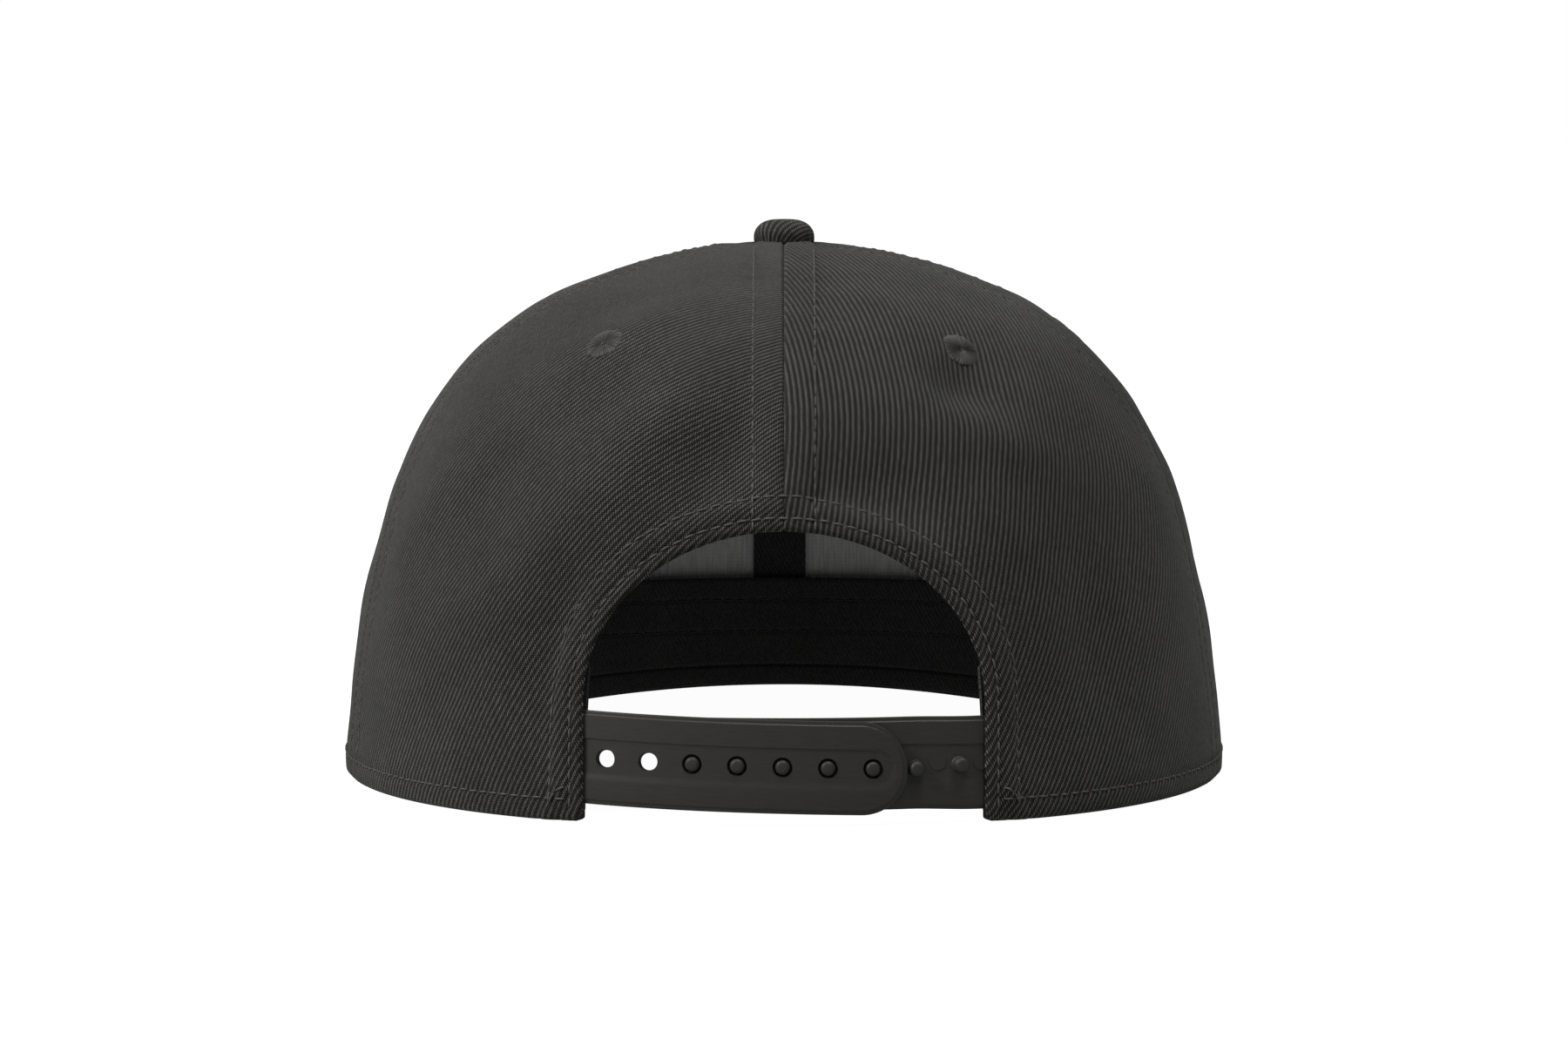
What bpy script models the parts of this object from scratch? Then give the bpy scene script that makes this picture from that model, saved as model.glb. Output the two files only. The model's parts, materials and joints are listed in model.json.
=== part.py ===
"""Snapback cap with six twill panels, a stiffened front, a peak, a sweatband and a snap strap.

The wearer faces +Y and +Z is up, so the rear arch and the strap face -Y. Lengths are metres.
A place on the crown has two coordinates: turn is the azimuth, 0 at the middle of the rear and
positive towards +X, and climb runs from 0 at the hem to 1 at the top. The cap lies on its hem
at z = 0, with the origin below the middle of its bounding box.
"""

import bisect
import math

import bmesh
import bpy
from mathutils import Vector

MM = 0.001

# Crown
HALF_WIDTH = 94.3 * MM
REAR_DEPTH = 102.0 * MM
FRONT_DEPTH = 99.0 * MM
CROWN_HEIGHT = 113.0 * MM
FRONT_LIFT = 5.9 * MM  # rise of the hem in the middle of the peak
LIFT_TURN = math.radians(110)  # where the hem starts to rise
HEM_EDGE = 1e-6  # climb below which a point lies on the hem's edge
SQUARENESS = 2.15  # superellipse exponent of a level section
PANEL_WALL = 1.2 * MM
CROWN_HOLE = 3.0 * MM  # radius left open for the button's stem
REAR_SEAM = 0.0
SIDE_SEAM = math.radians(73)
TEMPLE_SEAM = math.radians(127)
FRONT_SEAM = math.pi

# Shares of the crown's height, half width, rear depth and front depth along its climb
SECTIONS = (
    # climb, rise, side, rear, front
    (0.00, 0.000, 1.000, 1.000, 1.000),
    (0.04, 0.060, 1.000, 1.000, 1.000),
    (0.14, 0.208, 0.981, 0.985, 0.992),
    (0.27, 0.397, 0.939, 0.951, 0.969),
    (0.40, 0.586, 0.870, 0.890, 0.918),
    (0.52, 0.740, 0.762, 0.788, 0.822),
    (0.64, 0.864, 0.600, 0.623, 0.654),
    (0.76, 0.944, 0.391, 0.405, 0.424),
    (0.88, 0.986, 0.181, 0.186, 0.192),
    (1.00, 1.000, 0.000, 0.000, 0.000),
)

# Rear arch
ARCH_HALF_WIDTH = 40.8 * MM
ARCH_SPRING = 24.0 * MM  # height where the straight sides end
ARCH_TOP = 58.7 * MM

# Gaps between pieces
CLEARANCE = 0.3 * MM
LAYER_GAP = 0.5 * MM  # between curved layers, whose facets differ

# Linings
BUCKRAM_WALL = 0.8 * MM
TAPE_WALL = 0.8 * MM
TAPE_WIDTH = 12.0 * MM
SWEATBAND_WALL = 1.0 * MM
SWEATBAND_TOP = 31.5 * MM
SWEATBAND_SETBACK = 1.5 * MM  # from the arch's sides
LINING_BASE = SWEATBAND_WALL + LAYER_GAP + CLEARANCE  # height where tapes and buckram start
BUCKRAM_TOP = 0.82  # climb
TAPE_TOP_RADIUS = TAPE_WIDTH / 2 / math.tan((FRONT_SEAM - TEMPLE_SEAM) / 2) + LAYER_GAP

# Snap strap
STRAP_WIDTH = 19.0 * MM
STRAP_WALL = 1.3 * MM
STRAP_LIFT = 1.5 * MM  # from the sweatband's fold up to the strap's lower edge
STRAP_HEIGHT = SWEATBAND_WALL + STRAP_LIFT + STRAP_WIDTH / 2  # of its middle line
STRAP_STEP = 0.4 * MM  # how much higher the inner half lies where they overlap
STRAP_SLANT = 0.026  # fall of the outer half along its length, towards its tip
STRAP_TUCK = 14.0 * MM  # length held behind each rear panel
SNAP_PITCH = 9.1 * MM
SNAP_COUNT = 7
SNAP_SHIFT = -0.3 * MM  # of the closed snaps, from the middle of the rear
SNAPS_PAST_MIDDLE = 2
STRAP_TIP = 6.8 * MM  # from the last snap to the round end
STRAP_REACH = SNAPS_PAST_MIDDLE * SNAP_PITCH + STRAP_TIP
PEG_RADIUS = 1.55 * MM
PEG_DOME = 0.45 * MM
PEG_TIP_RADIUS = 1.1 * MM  # where the dome is half as high
SNAP_SLACK = 0.55 * MM
HOLE_RADIUS = PEG_RADIUS + SNAP_SLACK

# Button and eyelets
BUTTON_RADIUS = 6.75 * MM
BUTTON_HEIGHT = 4.6 * MM
BUTTON_FULLNESS = 0.6  # below 1, its sides stand steeper than a sphere's
EYELET_RADIUS = 4.0 * MM
EYELET_BARREL = 1.3 * MM
EYELET_BORE = 0.6 * MM
EYELET_FACE = 0.5 * MM  # thickness of its flange
EYELET_CLIMB = 0.60
# Each panel's seams, and the share of the way between them where its eyelet lies
EYELETS = {
    "rear": (REAR_SEAM, SIDE_SEAM, 0.44),
    "side": (SIDE_SEAM, TEMPLE_SEAM, 0.5),
    "front": (TEMPLE_SEAM, FRONT_SEAM, 0.5),
}

# Peak
PEAK_REACH = 68.0 * MM
PEAK_WALL = 3.0 * MM
PEAK_TURN = math.radians(62)  # from its middle to either corner
PEAK_FLARE = 4.0 * MM  # how much wider than its corners on the crown
PEAK_SQUARENESS = 2.5

# Mesh steps
PANEL_ROWS = 16
PANEL_STEP = math.radians(6)
ARCH_SIDE_ROWS = 3
ARCH_CURVE_ROWS = 7
REAR_SEAM_ROWS = 8
SWEATBAND_STEPS = 44
PEAK_STEPS = 28
PEAK_ROWS = 4
BUCKRAM_ROWS = 10
BUCKRAM_COLUMNS = 7
TAPE_ROWS = 14
TAPE_COLUMNS = 2
STRAP_ROWS = 4
STRAP_TIP_ANGLES = (0, 15, 30, 45, 60, 75, 86)
BUTTON_STEPS = 6
ROUND_SIDES = 16

SIDES = (("left", -1), ("right", 1))


def share(climb, column):
    """Reads a column of SECTIONS at a climb, as a smooth curve through its rows."""
    climbs = [row[0] for row in SECTIONS]
    values = [row[column] for row in SECTIONS]
    climb = min(max(climb, 0.0), 1.0)
    low = min(bisect.bisect_right(climbs, climb) - 1, len(climbs) - 2)

    def slope(row):
        before, after = max(row - 1, 0), min(row + 1, len(climbs) - 1)
        return (values[after] - values[before]) / (climbs[after] - climbs[before])

    span = climbs[low + 1] - climbs[low]
    t = (climb - climbs[low]) / span
    return (
        values[low] * (2 * t**3 - 3 * t**2 + 1)
        + values[low + 1] * (3 * t**2 - 2 * t**3)
        + span * slope(low) * (t**3 - 2 * t**2 + t)
        + span * slope(low + 1) * (t**3 - t**2)
    )


def solve(function, target, low=0.0, high=1.0):
    """Finds where a rising function reaches the target."""
    for _ in range(40):
        middle = (low + high) / 2
        if function(middle) < target:
            low = middle
        else:
            high = middle
    return (low + high) / 2


def hem_height(turn):
    past = max(abs(turn) - LIFT_TURN, 0.0) / (math.pi - LIFT_TURN)
    return FRONT_LIFT * (1 - math.cos(math.pi * past)) / 2


def crown_point(turn, climb):
    width = HALF_WIDTH * share(climb, 2)
    depth = REAR_DEPTH * share(climb, 3) if math.cos(turn) > 0 else FRONT_DEPTH * share(climb, 4)
    sine, cosine = math.sin(turn), math.cos(turn)
    radius = (abs(sine / width) ** SQUARENESS + abs(cosine / depth) ** SQUARENESS) ** (-1 / SQUARENESS)
    hem = hem_height(turn)
    return Vector((radius * sine, -radius * cosine, hem + (CROWN_HEIGHT - hem) * share(climb, 1)))


def crown_normal(turn, climb):
    step = 0.01
    below, above = max(climb - step, 0.0), max(min(climb + step, 1 - step / 10), step)
    along = crown_point(turn + step, climb) - crown_point(turn - step, climb)
    up = crown_point(turn, above) - crown_point(turn, below)
    normal = along.cross(up)
    if climb < HEM_EDGE:
        normal.z = 0.0  # the hem's edge is level across, so that the cap stands on it
    return normal.normalized()


def on_crown(turn, climb, inset=0.0):
    """A point that lies inset metres inside the crown's outer surface."""
    return crown_point(turn, climb) - inset * crown_normal(turn, climb)


def climb_at_height(turn, height):
    hem = hem_height(turn)
    return solve(lambda climb: share(climb, 1), (height - hem) / (CROWN_HEIGHT - hem))


def climb_at_radius(radius):
    return solve(lambda climb: -HALF_WIDTH * share(climb, 2), -radius)


def crown_place(x, height):
    """The turn and climb of the point on the rear of the crown at an x and a height."""
    climb = climb_at_height(0.0, height)
    width, depth = HALF_WIDTH * share(climb, 2), REAR_DEPTH * share(climb, 3)
    back = depth * (1 - abs(x / width) ** SQUARENESS) ** (1 / SQUARENESS)
    return math.atan2(x, back), climb


def seam_gap_turn(turn, climb):
    """Half the gap at a seam, as an angle about the crown's axis."""
    point = crown_point(turn, climb)
    return CLEARANCE / 2 / math.hypot(point.x, point.y)


def plain_material(name, colour, roughness):
    material = bpy.data.materials.new(name)
    material.use_nodes = True
    shader = material.node_tree.nodes["Principled BSDF"]
    shader.inputs["Base Color"].default_value = (*colour, 1.0)
    shader.inputs["Roughness"].default_value = roughness
    shader.inputs["Metallic"].default_value = 0.0
    return material


def make_object(name, shape, material):
    """Turns a bmesh into an object with its faces pointing out."""
    bmesh.ops.recalc_face_normals(shape, faces=shape.faces)
    mesh = bpy.data.meshes.new(name)
    shape.to_mesh(mesh)
    shape.free()
    mesh.shade_smooth()
    mesh.set_sharp_from_angle(angle=math.radians(35))
    mesh.materials.append(material)
    thing = bpy.data.objects.new(name, mesh)
    bpy.context.collection.objects.link(thing)
    return thing


def sheet(name, grid, surface, outside, inside, material):
    """A closed sheet over a grid of surface coordinates, between two insets."""
    shape = bmesh.new()
    skins = [
        [[shape.verts.new(surface(u, v, inset)) for u, v in row] for row in grid]
        for inset in (outside, inside)
    ]
    rows, columns = len(grid), len(grid[0])
    for skin in skins:
        for j in range(rows - 1):
            for i in range(columns - 1):
                shape.faces.new((skin[j][i], skin[j][i + 1], skin[j + 1][i + 1], skin[j + 1][i]))
    border = [(0, i) for i in range(columns)]
    border += [(j, columns - 1) for j in range(1, rows)]
    border += [(rows - 1, i) for i in range(columns - 2, -1, -1)]
    border += [(j, 0) for j in range(rows - 2, 0, -1)]
    for here, there in zip(border, border[1:] + border[:1]):
        ends = [skins[k][j][i] for k, (j, i) in ((0, here), (0, there), (1, there), (1, here))]
        shape.faces.new(ends)
    return make_object(name, shape, material)


def swept(name, stations, material):
    """A closed solid through equal loops of points, with flat ends."""
    shape = bmesh.new()
    loops = [[shape.verts.new(point) for point in station] for station in stations]
    count = len(loops[0])
    for first, second in zip(loops, loops[1:]):
        for i in range(count):
            j = (i + 1) % count
            shape.faces.new((first[i], first[j], second[j], second[i]))
    shape.faces.new(loops[0])
    shape.faces.new(loops[-1])
    return make_object(name, shape, material)


def turned(shape, profile, centre, axis, closed=False):
    """Adds a solid of revolution. The profile holds (radius, height) pairs."""
    turn = axis.to_track_quat("Z", "Y").to_matrix()
    rings = []
    for radius, height in profile:
        if radius == 0:
            rings.append([shape.verts.new(centre + turn @ Vector((0, 0, height)))] * ROUND_SIDES)
            continue
        angles = [2 * math.pi * k / ROUND_SIDES for k in range(ROUND_SIDES)]
        points = [Vector((radius * math.cos(a), radius * math.sin(a), height)) for a in angles]
        rings.append([shape.verts.new(centre + turn @ point) for point in points])
    if closed:
        rings.append(rings[0])
    for low, high in zip(rings, rings[1:]):
        for k in range(ROUND_SIDES):
            m = (k + 1) % ROUND_SIDES
            corners = dict.fromkeys((low[k], low[m], high[m], high[k]))
            shape.faces.new(list(corners))


def make_helper(name, shape, material):
    helper = make_object(name, shape, material)
    helper.hide_render = True
    helper.display_type = "WIRE"
    return helper


def boolean(thing, helper, operation):
    modifier = thing.modifiers.new(operation.title(), "BOOLEAN")
    modifier.operation = operation
    modifier.object = helper


def blend(first, second, steps):
    """Surface coordinates from one to the other, in equal steps."""
    return [
        tuple(a + (b - a) * i / steps for a, b in zip(first, second)) for i in range(steps + 1)
    ]


def seam_edge(turn, climbs, inward):
    """A panel's edge along a seam, half a gap away from it."""
    return [(turn + inward * seam_gap_turn(turn, climb), climb) for climb in climbs]


def plain_panel_grid(low_turn, high_turn):
    top = climb_at_radius(CROWN_HOLE)
    climbs = [top * j / PANEL_ROWS for j in range(PANEL_ROWS + 1)]
    columns = round((high_turn - low_turn) / PANEL_STEP)
    edges = zip(seam_edge(low_turn, climbs, 1), seam_edge(high_turn, climbs, -1))
    return [blend(low, high, columns) for low, high in edges]


def arch_edge():
    """The rear panel's free edge, from the hem to the foot of the rear seam."""
    places = [(ARCH_HALF_WIDTH, ARCH_SPRING * j / ARCH_SIDE_ROWS) for j in range(ARCH_SIDE_ROWS)]
    for j in range(ARCH_CURVE_ROWS + 1):
        angle = math.pi / 2 * j / ARCH_CURVE_ROWS
        x = max(ARCH_HALF_WIDTH * math.cos(angle), CLEARANCE / 2)
        places.append((x, ARCH_SPRING + (ARCH_TOP - ARCH_SPRING) * math.sin(angle)))
    return [crown_place(x, height) for x, height in places]


def rear_panel_grid():
    top = climb_at_radius(CROWN_HOLE)
    inner = arch_edge()
    foot = inner[-1][1]
    climbs = [foot + (top - foot) * j / REAR_SEAM_ROWS for j in range(1, REAR_SEAM_ROWS + 1)]
    inner += seam_edge(REAR_SEAM, climbs, 1)
    points = [crown_point(*place) for place in inner]
    lengths = [0.0]
    for a, b in zip(points, points[1:]):
        lengths.append(lengths[-1] + (b - a).length)
    outer = seam_edge(SIDE_SEAM, [top * length / lengths[-1] for length in lengths], -1)
    columns = round((SIDE_SEAM - REAR_SEAM) / PANEL_STEP)
    return [blend(low, high, columns) for low, high in zip(inner, outer)]


def mirrored(grid, sign):
    return [[(sign * turn, climb) for turn, climb in row] for row in grid]


def eyelet_places():
    for panel, (low, high, part_way) in EYELETS.items():
        turn = low + (high - low) * part_way
        for side, sign in SIDES:
            centre = on_crown(sign * turn, EYELET_CLIMB)
            yield f"{panel}_{side}", centre, crown_normal(sign * turn, EYELET_CLIMB)


def make_panels(material):
    holes = bmesh.new()
    for _, centre, axis in eyelet_places():
        radius, half = EYELET_BARREL + CLEARANCE, 2 * PANEL_WALL
        turned(holes, ((0, -half), (radius, -half), (radius, half), (0, half)), centre, axis)
    cutter = make_helper("cutter_eyelet_holes", holes, material)
    grids = {
        "rear": rear_panel_grid(),
        "side": plain_panel_grid(SIDE_SEAM, TEMPLE_SEAM),
        "front": plain_panel_grid(TEMPLE_SEAM, FRONT_SEAM),
    }
    things = []
    for panel, grid in grids.items():
        for side, sign in SIDES:
            name = f"panel_{panel}_{side}"
            thing = sheet(name, mirrored(grid, sign), on_crown, 0.0, PANEL_WALL, material)
            boolean(thing, cutter, "DIFFERENCE")
            things.append(thing)
    return things, [cutter]


def make_eyelets(material):
    things = []
    barrel_end = -(PANEL_WALL + LAYER_GAP)
    lift = CLEARANCE
    face = lift + EYELET_FACE
    profile = (
        (EYELET_BORE, barrel_end),
        (EYELET_BARREL, barrel_end),
        (EYELET_BARREL, lift),
        (EYELET_RADIUS, lift),
        (EYELET_RADIUS - EYELET_FACE / 2, face),
        (EYELET_BORE, face),
    )
    for name, centre, axis in eyelet_places():
        shape = bmesh.new()
        turned(shape, profile, centre, axis, closed=True)
        things.append(make_object(f"eyelet_{name}", shape, material))
    return things


def make_button(material):
    shape = bmesh.new()
    seat = CLEARANCE
    stem = CROWN_HOLE - CLEARANCE
    profile = [(0, -PANEL_WALL - LAYER_GAP), (stem, -PANEL_WALL - LAYER_GAP), (stem, seat)]
    for k in range(BUTTON_STEPS + 1):
        angle = math.pi / 2 * k / BUTTON_STEPS
        radius = 0 if k == BUTTON_STEPS else BUTTON_RADIUS * math.cos(angle) ** BUTTON_FULLNESS
        profile.append((radius, seat + BUTTON_HEIGHT * math.sin(angle)))
    turned(shape, profile, Vector((0, 0, CROWN_HEIGHT)), Vector((0, 0, 1)))
    return [make_object("button", shape, material)]


def make_buckram(material):
    """Two stiffeners behind the front panels, clear of the seam tapes beside them."""
    inset = PANEL_WALL + LAYER_GAP
    low = climb_at_height(FRONT_SEAM, hem_height(FRONT_SEAM) + LINING_BASE)
    grid = []
    for j in range(BUCKRAM_ROWS + 1):
        climb = low + (BUCKRAM_TOP - low) * j / BUCKRAM_ROWS
        edge = crown_point(TEMPLE_SEAM, climb)
        margin = (TAPE_WIDTH / 2 + LAYER_GAP) / math.hypot(edge.x, edge.y)
        ends = ((TEMPLE_SEAM + margin, climb), (FRONT_SEAM - seam_gap_turn(math.pi, climb), climb))
        grid.append(blend(*ends, BUCKRAM_COLUMNS))
    return [
        sheet(f"buckram_{side}", mirrored(grid, sign), on_crown, inset, inset + BUCKRAM_WALL, material)
        for side, sign in SIDES
    ]


def make_tapes(material):
    """A tape behind each seam: over the buckram at the front, against the panels elsewhere."""
    top = climb_at_radius(TAPE_TOP_RADIUS)
    on_panel = PANEL_WALL + LAYER_GAP
    over_buckram = on_panel + BUCKRAM_WALL + LAYER_GAP
    arch_foot = climb_at_height(0.0, ARCH_TOP + CLEARANCE)
    seams = {
        "rear": (REAR_SEAM, on_panel, arch_foot),
        "side_left": (-SIDE_SEAM, on_panel, None),
        "side_right": (SIDE_SEAM, on_panel, None),
        "temple_left": (-TEMPLE_SEAM, on_panel, None),
        "temple_right": (TEMPLE_SEAM, on_panel, None),
        "front": (FRONT_SEAM, over_buckram, None),
    }
    things = []
    for name, (turn, inset, foot) in seams.items():
        low = foot or climb_at_height(turn, hem_height(turn) + LINING_BASE)
        grid = []
        for j in range(TAPE_ROWS + 1):
            climb = low + (top - low) * j / TAPE_ROWS
            middle = crown_point(turn, climb)
            half = TAPE_WIDTH / 2 / math.hypot(middle.x, middle.y)
            grid.append(blend((turn - half, climb), (turn + half, climb), TAPE_COLUMNS))
        things.append(sheet(f"tape_{name}", grid, on_crown, inset, inset + TAPE_WALL, material))
    return things


def make_sweatband(material):
    """A band round the head, folded out under the linings to the foot of the panels."""
    fold = PANEL_WALL + CLEARANCE
    outside = PANEL_WALL + BUCKRAM_WALL + TAPE_WALL + 3 * LAYER_GAP
    inside = outside + SWEATBAND_WALL
    lip = SWEATBAND_WALL
    corner = crown_place(ARCH_HALF_WIDTH + SWEATBAND_SETBACK, 0.0)[0]
    stations = []
    for k in range(SWEATBAND_STEPS + 1):
        turn = corner + (2 * math.pi - 2 * corner) * k / SWEATBAND_STEPS
        turn = turn if turn <= math.pi else turn - 2 * math.pi
        hem = hem_height(turn)
        top = SWEATBAND_TOP - hem
        path = [(inside, 0.0), (inside, top / 3), (inside, 2 * top / 3), (inside, top)]
        path += [(outside, top), (outside, 2 * top / 3), (outside, top / 3), (outside, lip)]
        path += [(fold, lip), (fold, 0.0)]
        stations.append(
            [on_crown(turn, climb_at_height(turn, hem + height), inset) for inset, height in path]
        )
    return [swept("sweatband", stations, material)]


def level_arc():
    """Arc lengths along the outer strap's middle line, with the turn at each."""
    climb = climb_at_height(0.0, STRAP_HEIGHT)
    step = math.radians(0.5)
    arcs, turns, points = [0.0], [0.0], [on_crown(0.0, climb, STRAP_INSET)]
    while turns[-1] < math.pi / 2:
        turns.append(turns[-1] + step)
        points.append(on_crown(turns[-1], climb, STRAP_INSET))
        arcs.append(arcs[-1] + (points[-1] - points[-2]).length)
    return arcs, turns


def read_across(value, from_list, to_list):
    """Reads one rising list at the place where another one reaches a value."""
    low = min(bisect.bisect_right(from_list, value) - 1, len(from_list) - 2)
    t = (value - from_list[low]) / (from_list[low + 1] - from_list[low])
    return to_list[low] + t * (to_list[low + 1] - to_list[low])


STRAP_INSET = PANEL_WALL + LAYER_GAP
ARCS, TURNS = level_arc()
CORNER_ARC = read_across(crown_place(ARCH_HALF_WIDTH, STRAP_HEIGHT)[0], TURNS, ARCS)


def turn_at_arc(arc):
    return math.copysign(read_across(abs(arc), ARCS, TURNS), arc)


def strap_place(arc, height):
    turn = turn_at_arc(arc)
    return turn, climb_at_height(turn, height)


def outer_strap_point(arc, height, inset):
    return on_crown(*strap_place(arc, height - STRAP_SLANT * arc), STRAP_INSET + inset)


def behind_share(arc):
    """1 where the inner half lies behind the outer one, easing to 0 at its own panel."""
    t = (arc - STRAP_REACH - CLEARANCE) / (CORNER_ARC - STRAP_REACH - CLEARANCE)
    t = min(max(t, 0.0), 1.0)
    return 1 - t * t * (3 - 2 * t)


def inner_strap_point(arc, height, inset):
    behind = behind_share(arc)
    depth = STRAP_INSET + behind * (STRAP_WALL + CLEARANCE) + inset
    return on_crown(*strap_place(arc, height + behind * STRAP_STEP), depth)


def strap_grid(sign):
    """Rows across a strap from its tucked end to its round tip, on the side of sign."""
    radius = STRAP_WIDTH / 2
    straight_end = STRAP_REACH - radius
    start = -(CORNER_ARC + STRAP_TUCK)
    steps = round((straight_end - start) / (SNAP_PITCH / 2))
    outline = [(start + (straight_end - start) * k / steps, radius) for k in range(steps)]
    for angle in map(math.radians, STRAP_TIP_ANGLES):
        outline.append((straight_end + radius * math.sin(angle), radius * math.cos(angle)))
    return [
        [(sign * arc, STRAP_HEIGHT + half * (2 * j / STRAP_ROWS - 1)) for arc, half in outline]
        for j in range(STRAP_ROWS + 1)
    ]


def snap_arcs(sign):
    """Places of the snaps along one strap, whose tip is on the side of sign."""
    first = SNAPS_PAST_MIDDLE - SNAP_COUNT + 1
    return [sign * SNAP_PITCH * (first + k) + SNAP_SHIFT for k in range(SNAP_COUNT)]


def strap_axis(point, arc, height):
    """Centre on a strap's outer face and the direction out of it."""
    step = CLEARANCE
    centre = point(arc, height, 0.0)
    along = point(arc + step, height, 0.0) - centre
    up = point(arc, height + step, 0.0) - centre
    return centre, along.cross(up).normalized()


def make_straps(material):
    outer = sheet("strap_left_holes", strap_grid(1), outer_strap_point, 0.0, STRAP_WALL, material)
    inner = sheet("strap_right_pegs", strap_grid(-1), inner_strap_point, 0.0, STRAP_WALL, material)
    holes, pegs = bmesh.new(), bmesh.new()
    deep = 2 * STRAP_WALL
    for arc in snap_arcs(1):
        centre, axis = strap_axis(outer_strap_point, arc, STRAP_HEIGHT)
        drill = ((0, -deep), (HOLE_RADIUS, -deep), (HOLE_RADIUS, deep), (0, deep))
        turned(holes, drill, centre, axis)
    height = CLEARANCE + STRAP_WALL
    for arc in snap_arcs(-1):
        level = STRAP_HEIGHT - behind_share(arc) * (STRAP_STEP + STRAP_SLANT * arc)
        centre, axis = strap_axis(inner_strap_point, arc, level)
        peg = [(0, -STRAP_WALL / 2), (PEG_RADIUS, -STRAP_WALL / 2), (PEG_RADIUS, height - PEG_DOME)]
        peg += [(PEG_TIP_RADIUS, height - PEG_DOME / 4), (0, height)]
        turned(pegs, peg, centre, axis)
    hole_cutter = make_helper("cutter_strap_holes", holes, material)
    peg_form = make_helper("form_strap_pegs", pegs, material)
    boolean(outer, hole_cutter, "DIFFERENCE")
    boolean(inner, peg_form, "UNION")
    return [outer, inner], [hole_cutter, peg_form]


def peak_corner():
    return crown_point(math.pi - PEAK_TURN, 0.0) + Vector((PEAK_FLARE, 0, 0))


def peak_point(across, reach, rise):
    """Across runs from -1 to 1 between the corners, and reach from the crown to the rim."""
    turn = math.pi - across * PEAK_TURN
    root = on_crown(turn, 0.0, -CLEARANCE)
    corner = peak_corner()
    angle = math.pi / 2 * (1 - abs(across))
    x = math.copysign(corner.x * math.cos(angle) ** (2 / PEAK_SQUARENESS), across)
    front = FRONT_DEPTH + PEAK_REACH - corner.y
    y = corner.y + front * math.sin(angle) ** (2 / PEAK_SQUARENESS)
    rim = Vector((x, y, FRONT_LIFT * math.cos(math.pi / 2 * x / corner.x) ** 2))
    return root.lerp(rim, reach) + Vector((0, 0, rise))


def make_peak(material):
    grid = [
        [(2 * i / PEAK_STEPS - 1, j / PEAK_ROWS) for i in range(PEAK_STEPS + 1)]
        for j in range(PEAK_ROWS + 1)
    ]
    return [sheet("peak", grid, peak_point, 0.0, PEAK_WALL, material)]


def stand_on_origin(things, helpers):
    """Moves the cap so that the origin lies below the middle of its box."""
    corners = [vertex.co for thing in things for vertex in thing.data.vertices]
    low = Vector([min(point[k] for point in corners) for k in range(3)])
    high = Vector([max(point[k] for point in corners) for k in range(3)])
    cap = bpy.data.objects.new("cap", None)
    bpy.context.collection.objects.link(cap)
    cap.location = (-(low.x + high.x) / 2, -(low.y + high.y) / 2, -low.z)
    for thing in things + helpers:
        thing.parent = cap


def build_cap():
    for thing in list(bpy.data.objects):
        bpy.data.objects.remove(thing, do_unlink=True)
    twill = plain_material("charcoal_twill", (0.042, 0.040, 0.037), 0.95)
    thread = plain_material("eyelet_thread", (0.060, 0.058, 0.055), 0.85)
    stiffener = plain_material("grey_buckram", (0.060, 0.060, 0.058), 0.95)
    lining = plain_material("black_lining", (0.006, 0.006, 0.006), 0.9)
    plastic = plain_material("dark_plastic", (0.032, 0.031, 0.029), 0.5)
    panels, panel_cutters = make_panels(twill)
    straps, strap_helpers = make_straps(plastic)
    things = panels + straps
    things += make_eyelets(thread)
    things += make_button(twill)
    things += make_buckram(stiffener)
    things += make_tapes(lining)
    things += make_sweatband(lining)
    things += make_peak(twill)
    stand_on_origin(things, panel_cutters + strap_helpers)


build_cap()
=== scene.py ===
# %% [markdown]
# # A snapback cap, seen from behind
# This notebook dresses the plain solids of a cap: six panels of charcoal twill, a rear arch
# closed by a plastic snap strap, and the lining of the front showing through the arch.
# The solids give every place and size. Each cell adds one piece or one finish.

# %% Load the frame
import json
import math

import bpy
import numpy as np
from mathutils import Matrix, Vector, kdtree
from mathutils.bvhtree import BVHTree

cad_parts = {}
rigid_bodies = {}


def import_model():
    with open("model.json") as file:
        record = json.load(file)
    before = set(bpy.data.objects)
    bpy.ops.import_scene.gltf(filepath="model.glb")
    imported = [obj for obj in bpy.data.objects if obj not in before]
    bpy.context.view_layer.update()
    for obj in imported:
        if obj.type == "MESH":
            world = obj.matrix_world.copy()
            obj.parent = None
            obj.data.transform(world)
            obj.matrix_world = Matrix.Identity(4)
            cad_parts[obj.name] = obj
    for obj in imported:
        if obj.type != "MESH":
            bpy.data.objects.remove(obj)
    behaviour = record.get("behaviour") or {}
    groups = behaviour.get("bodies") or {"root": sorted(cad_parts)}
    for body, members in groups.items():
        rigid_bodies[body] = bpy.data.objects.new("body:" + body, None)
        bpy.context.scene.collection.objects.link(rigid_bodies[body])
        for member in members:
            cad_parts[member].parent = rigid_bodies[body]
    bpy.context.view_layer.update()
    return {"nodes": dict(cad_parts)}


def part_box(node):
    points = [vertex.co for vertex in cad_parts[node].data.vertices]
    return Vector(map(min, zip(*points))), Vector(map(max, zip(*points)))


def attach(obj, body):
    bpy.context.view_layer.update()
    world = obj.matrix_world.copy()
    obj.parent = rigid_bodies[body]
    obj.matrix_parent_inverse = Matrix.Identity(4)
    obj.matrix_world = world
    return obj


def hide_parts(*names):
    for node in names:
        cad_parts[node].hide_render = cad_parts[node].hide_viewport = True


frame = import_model()
MM = 0.001
print("frame nodes:", len(frame["nodes"]))

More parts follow.
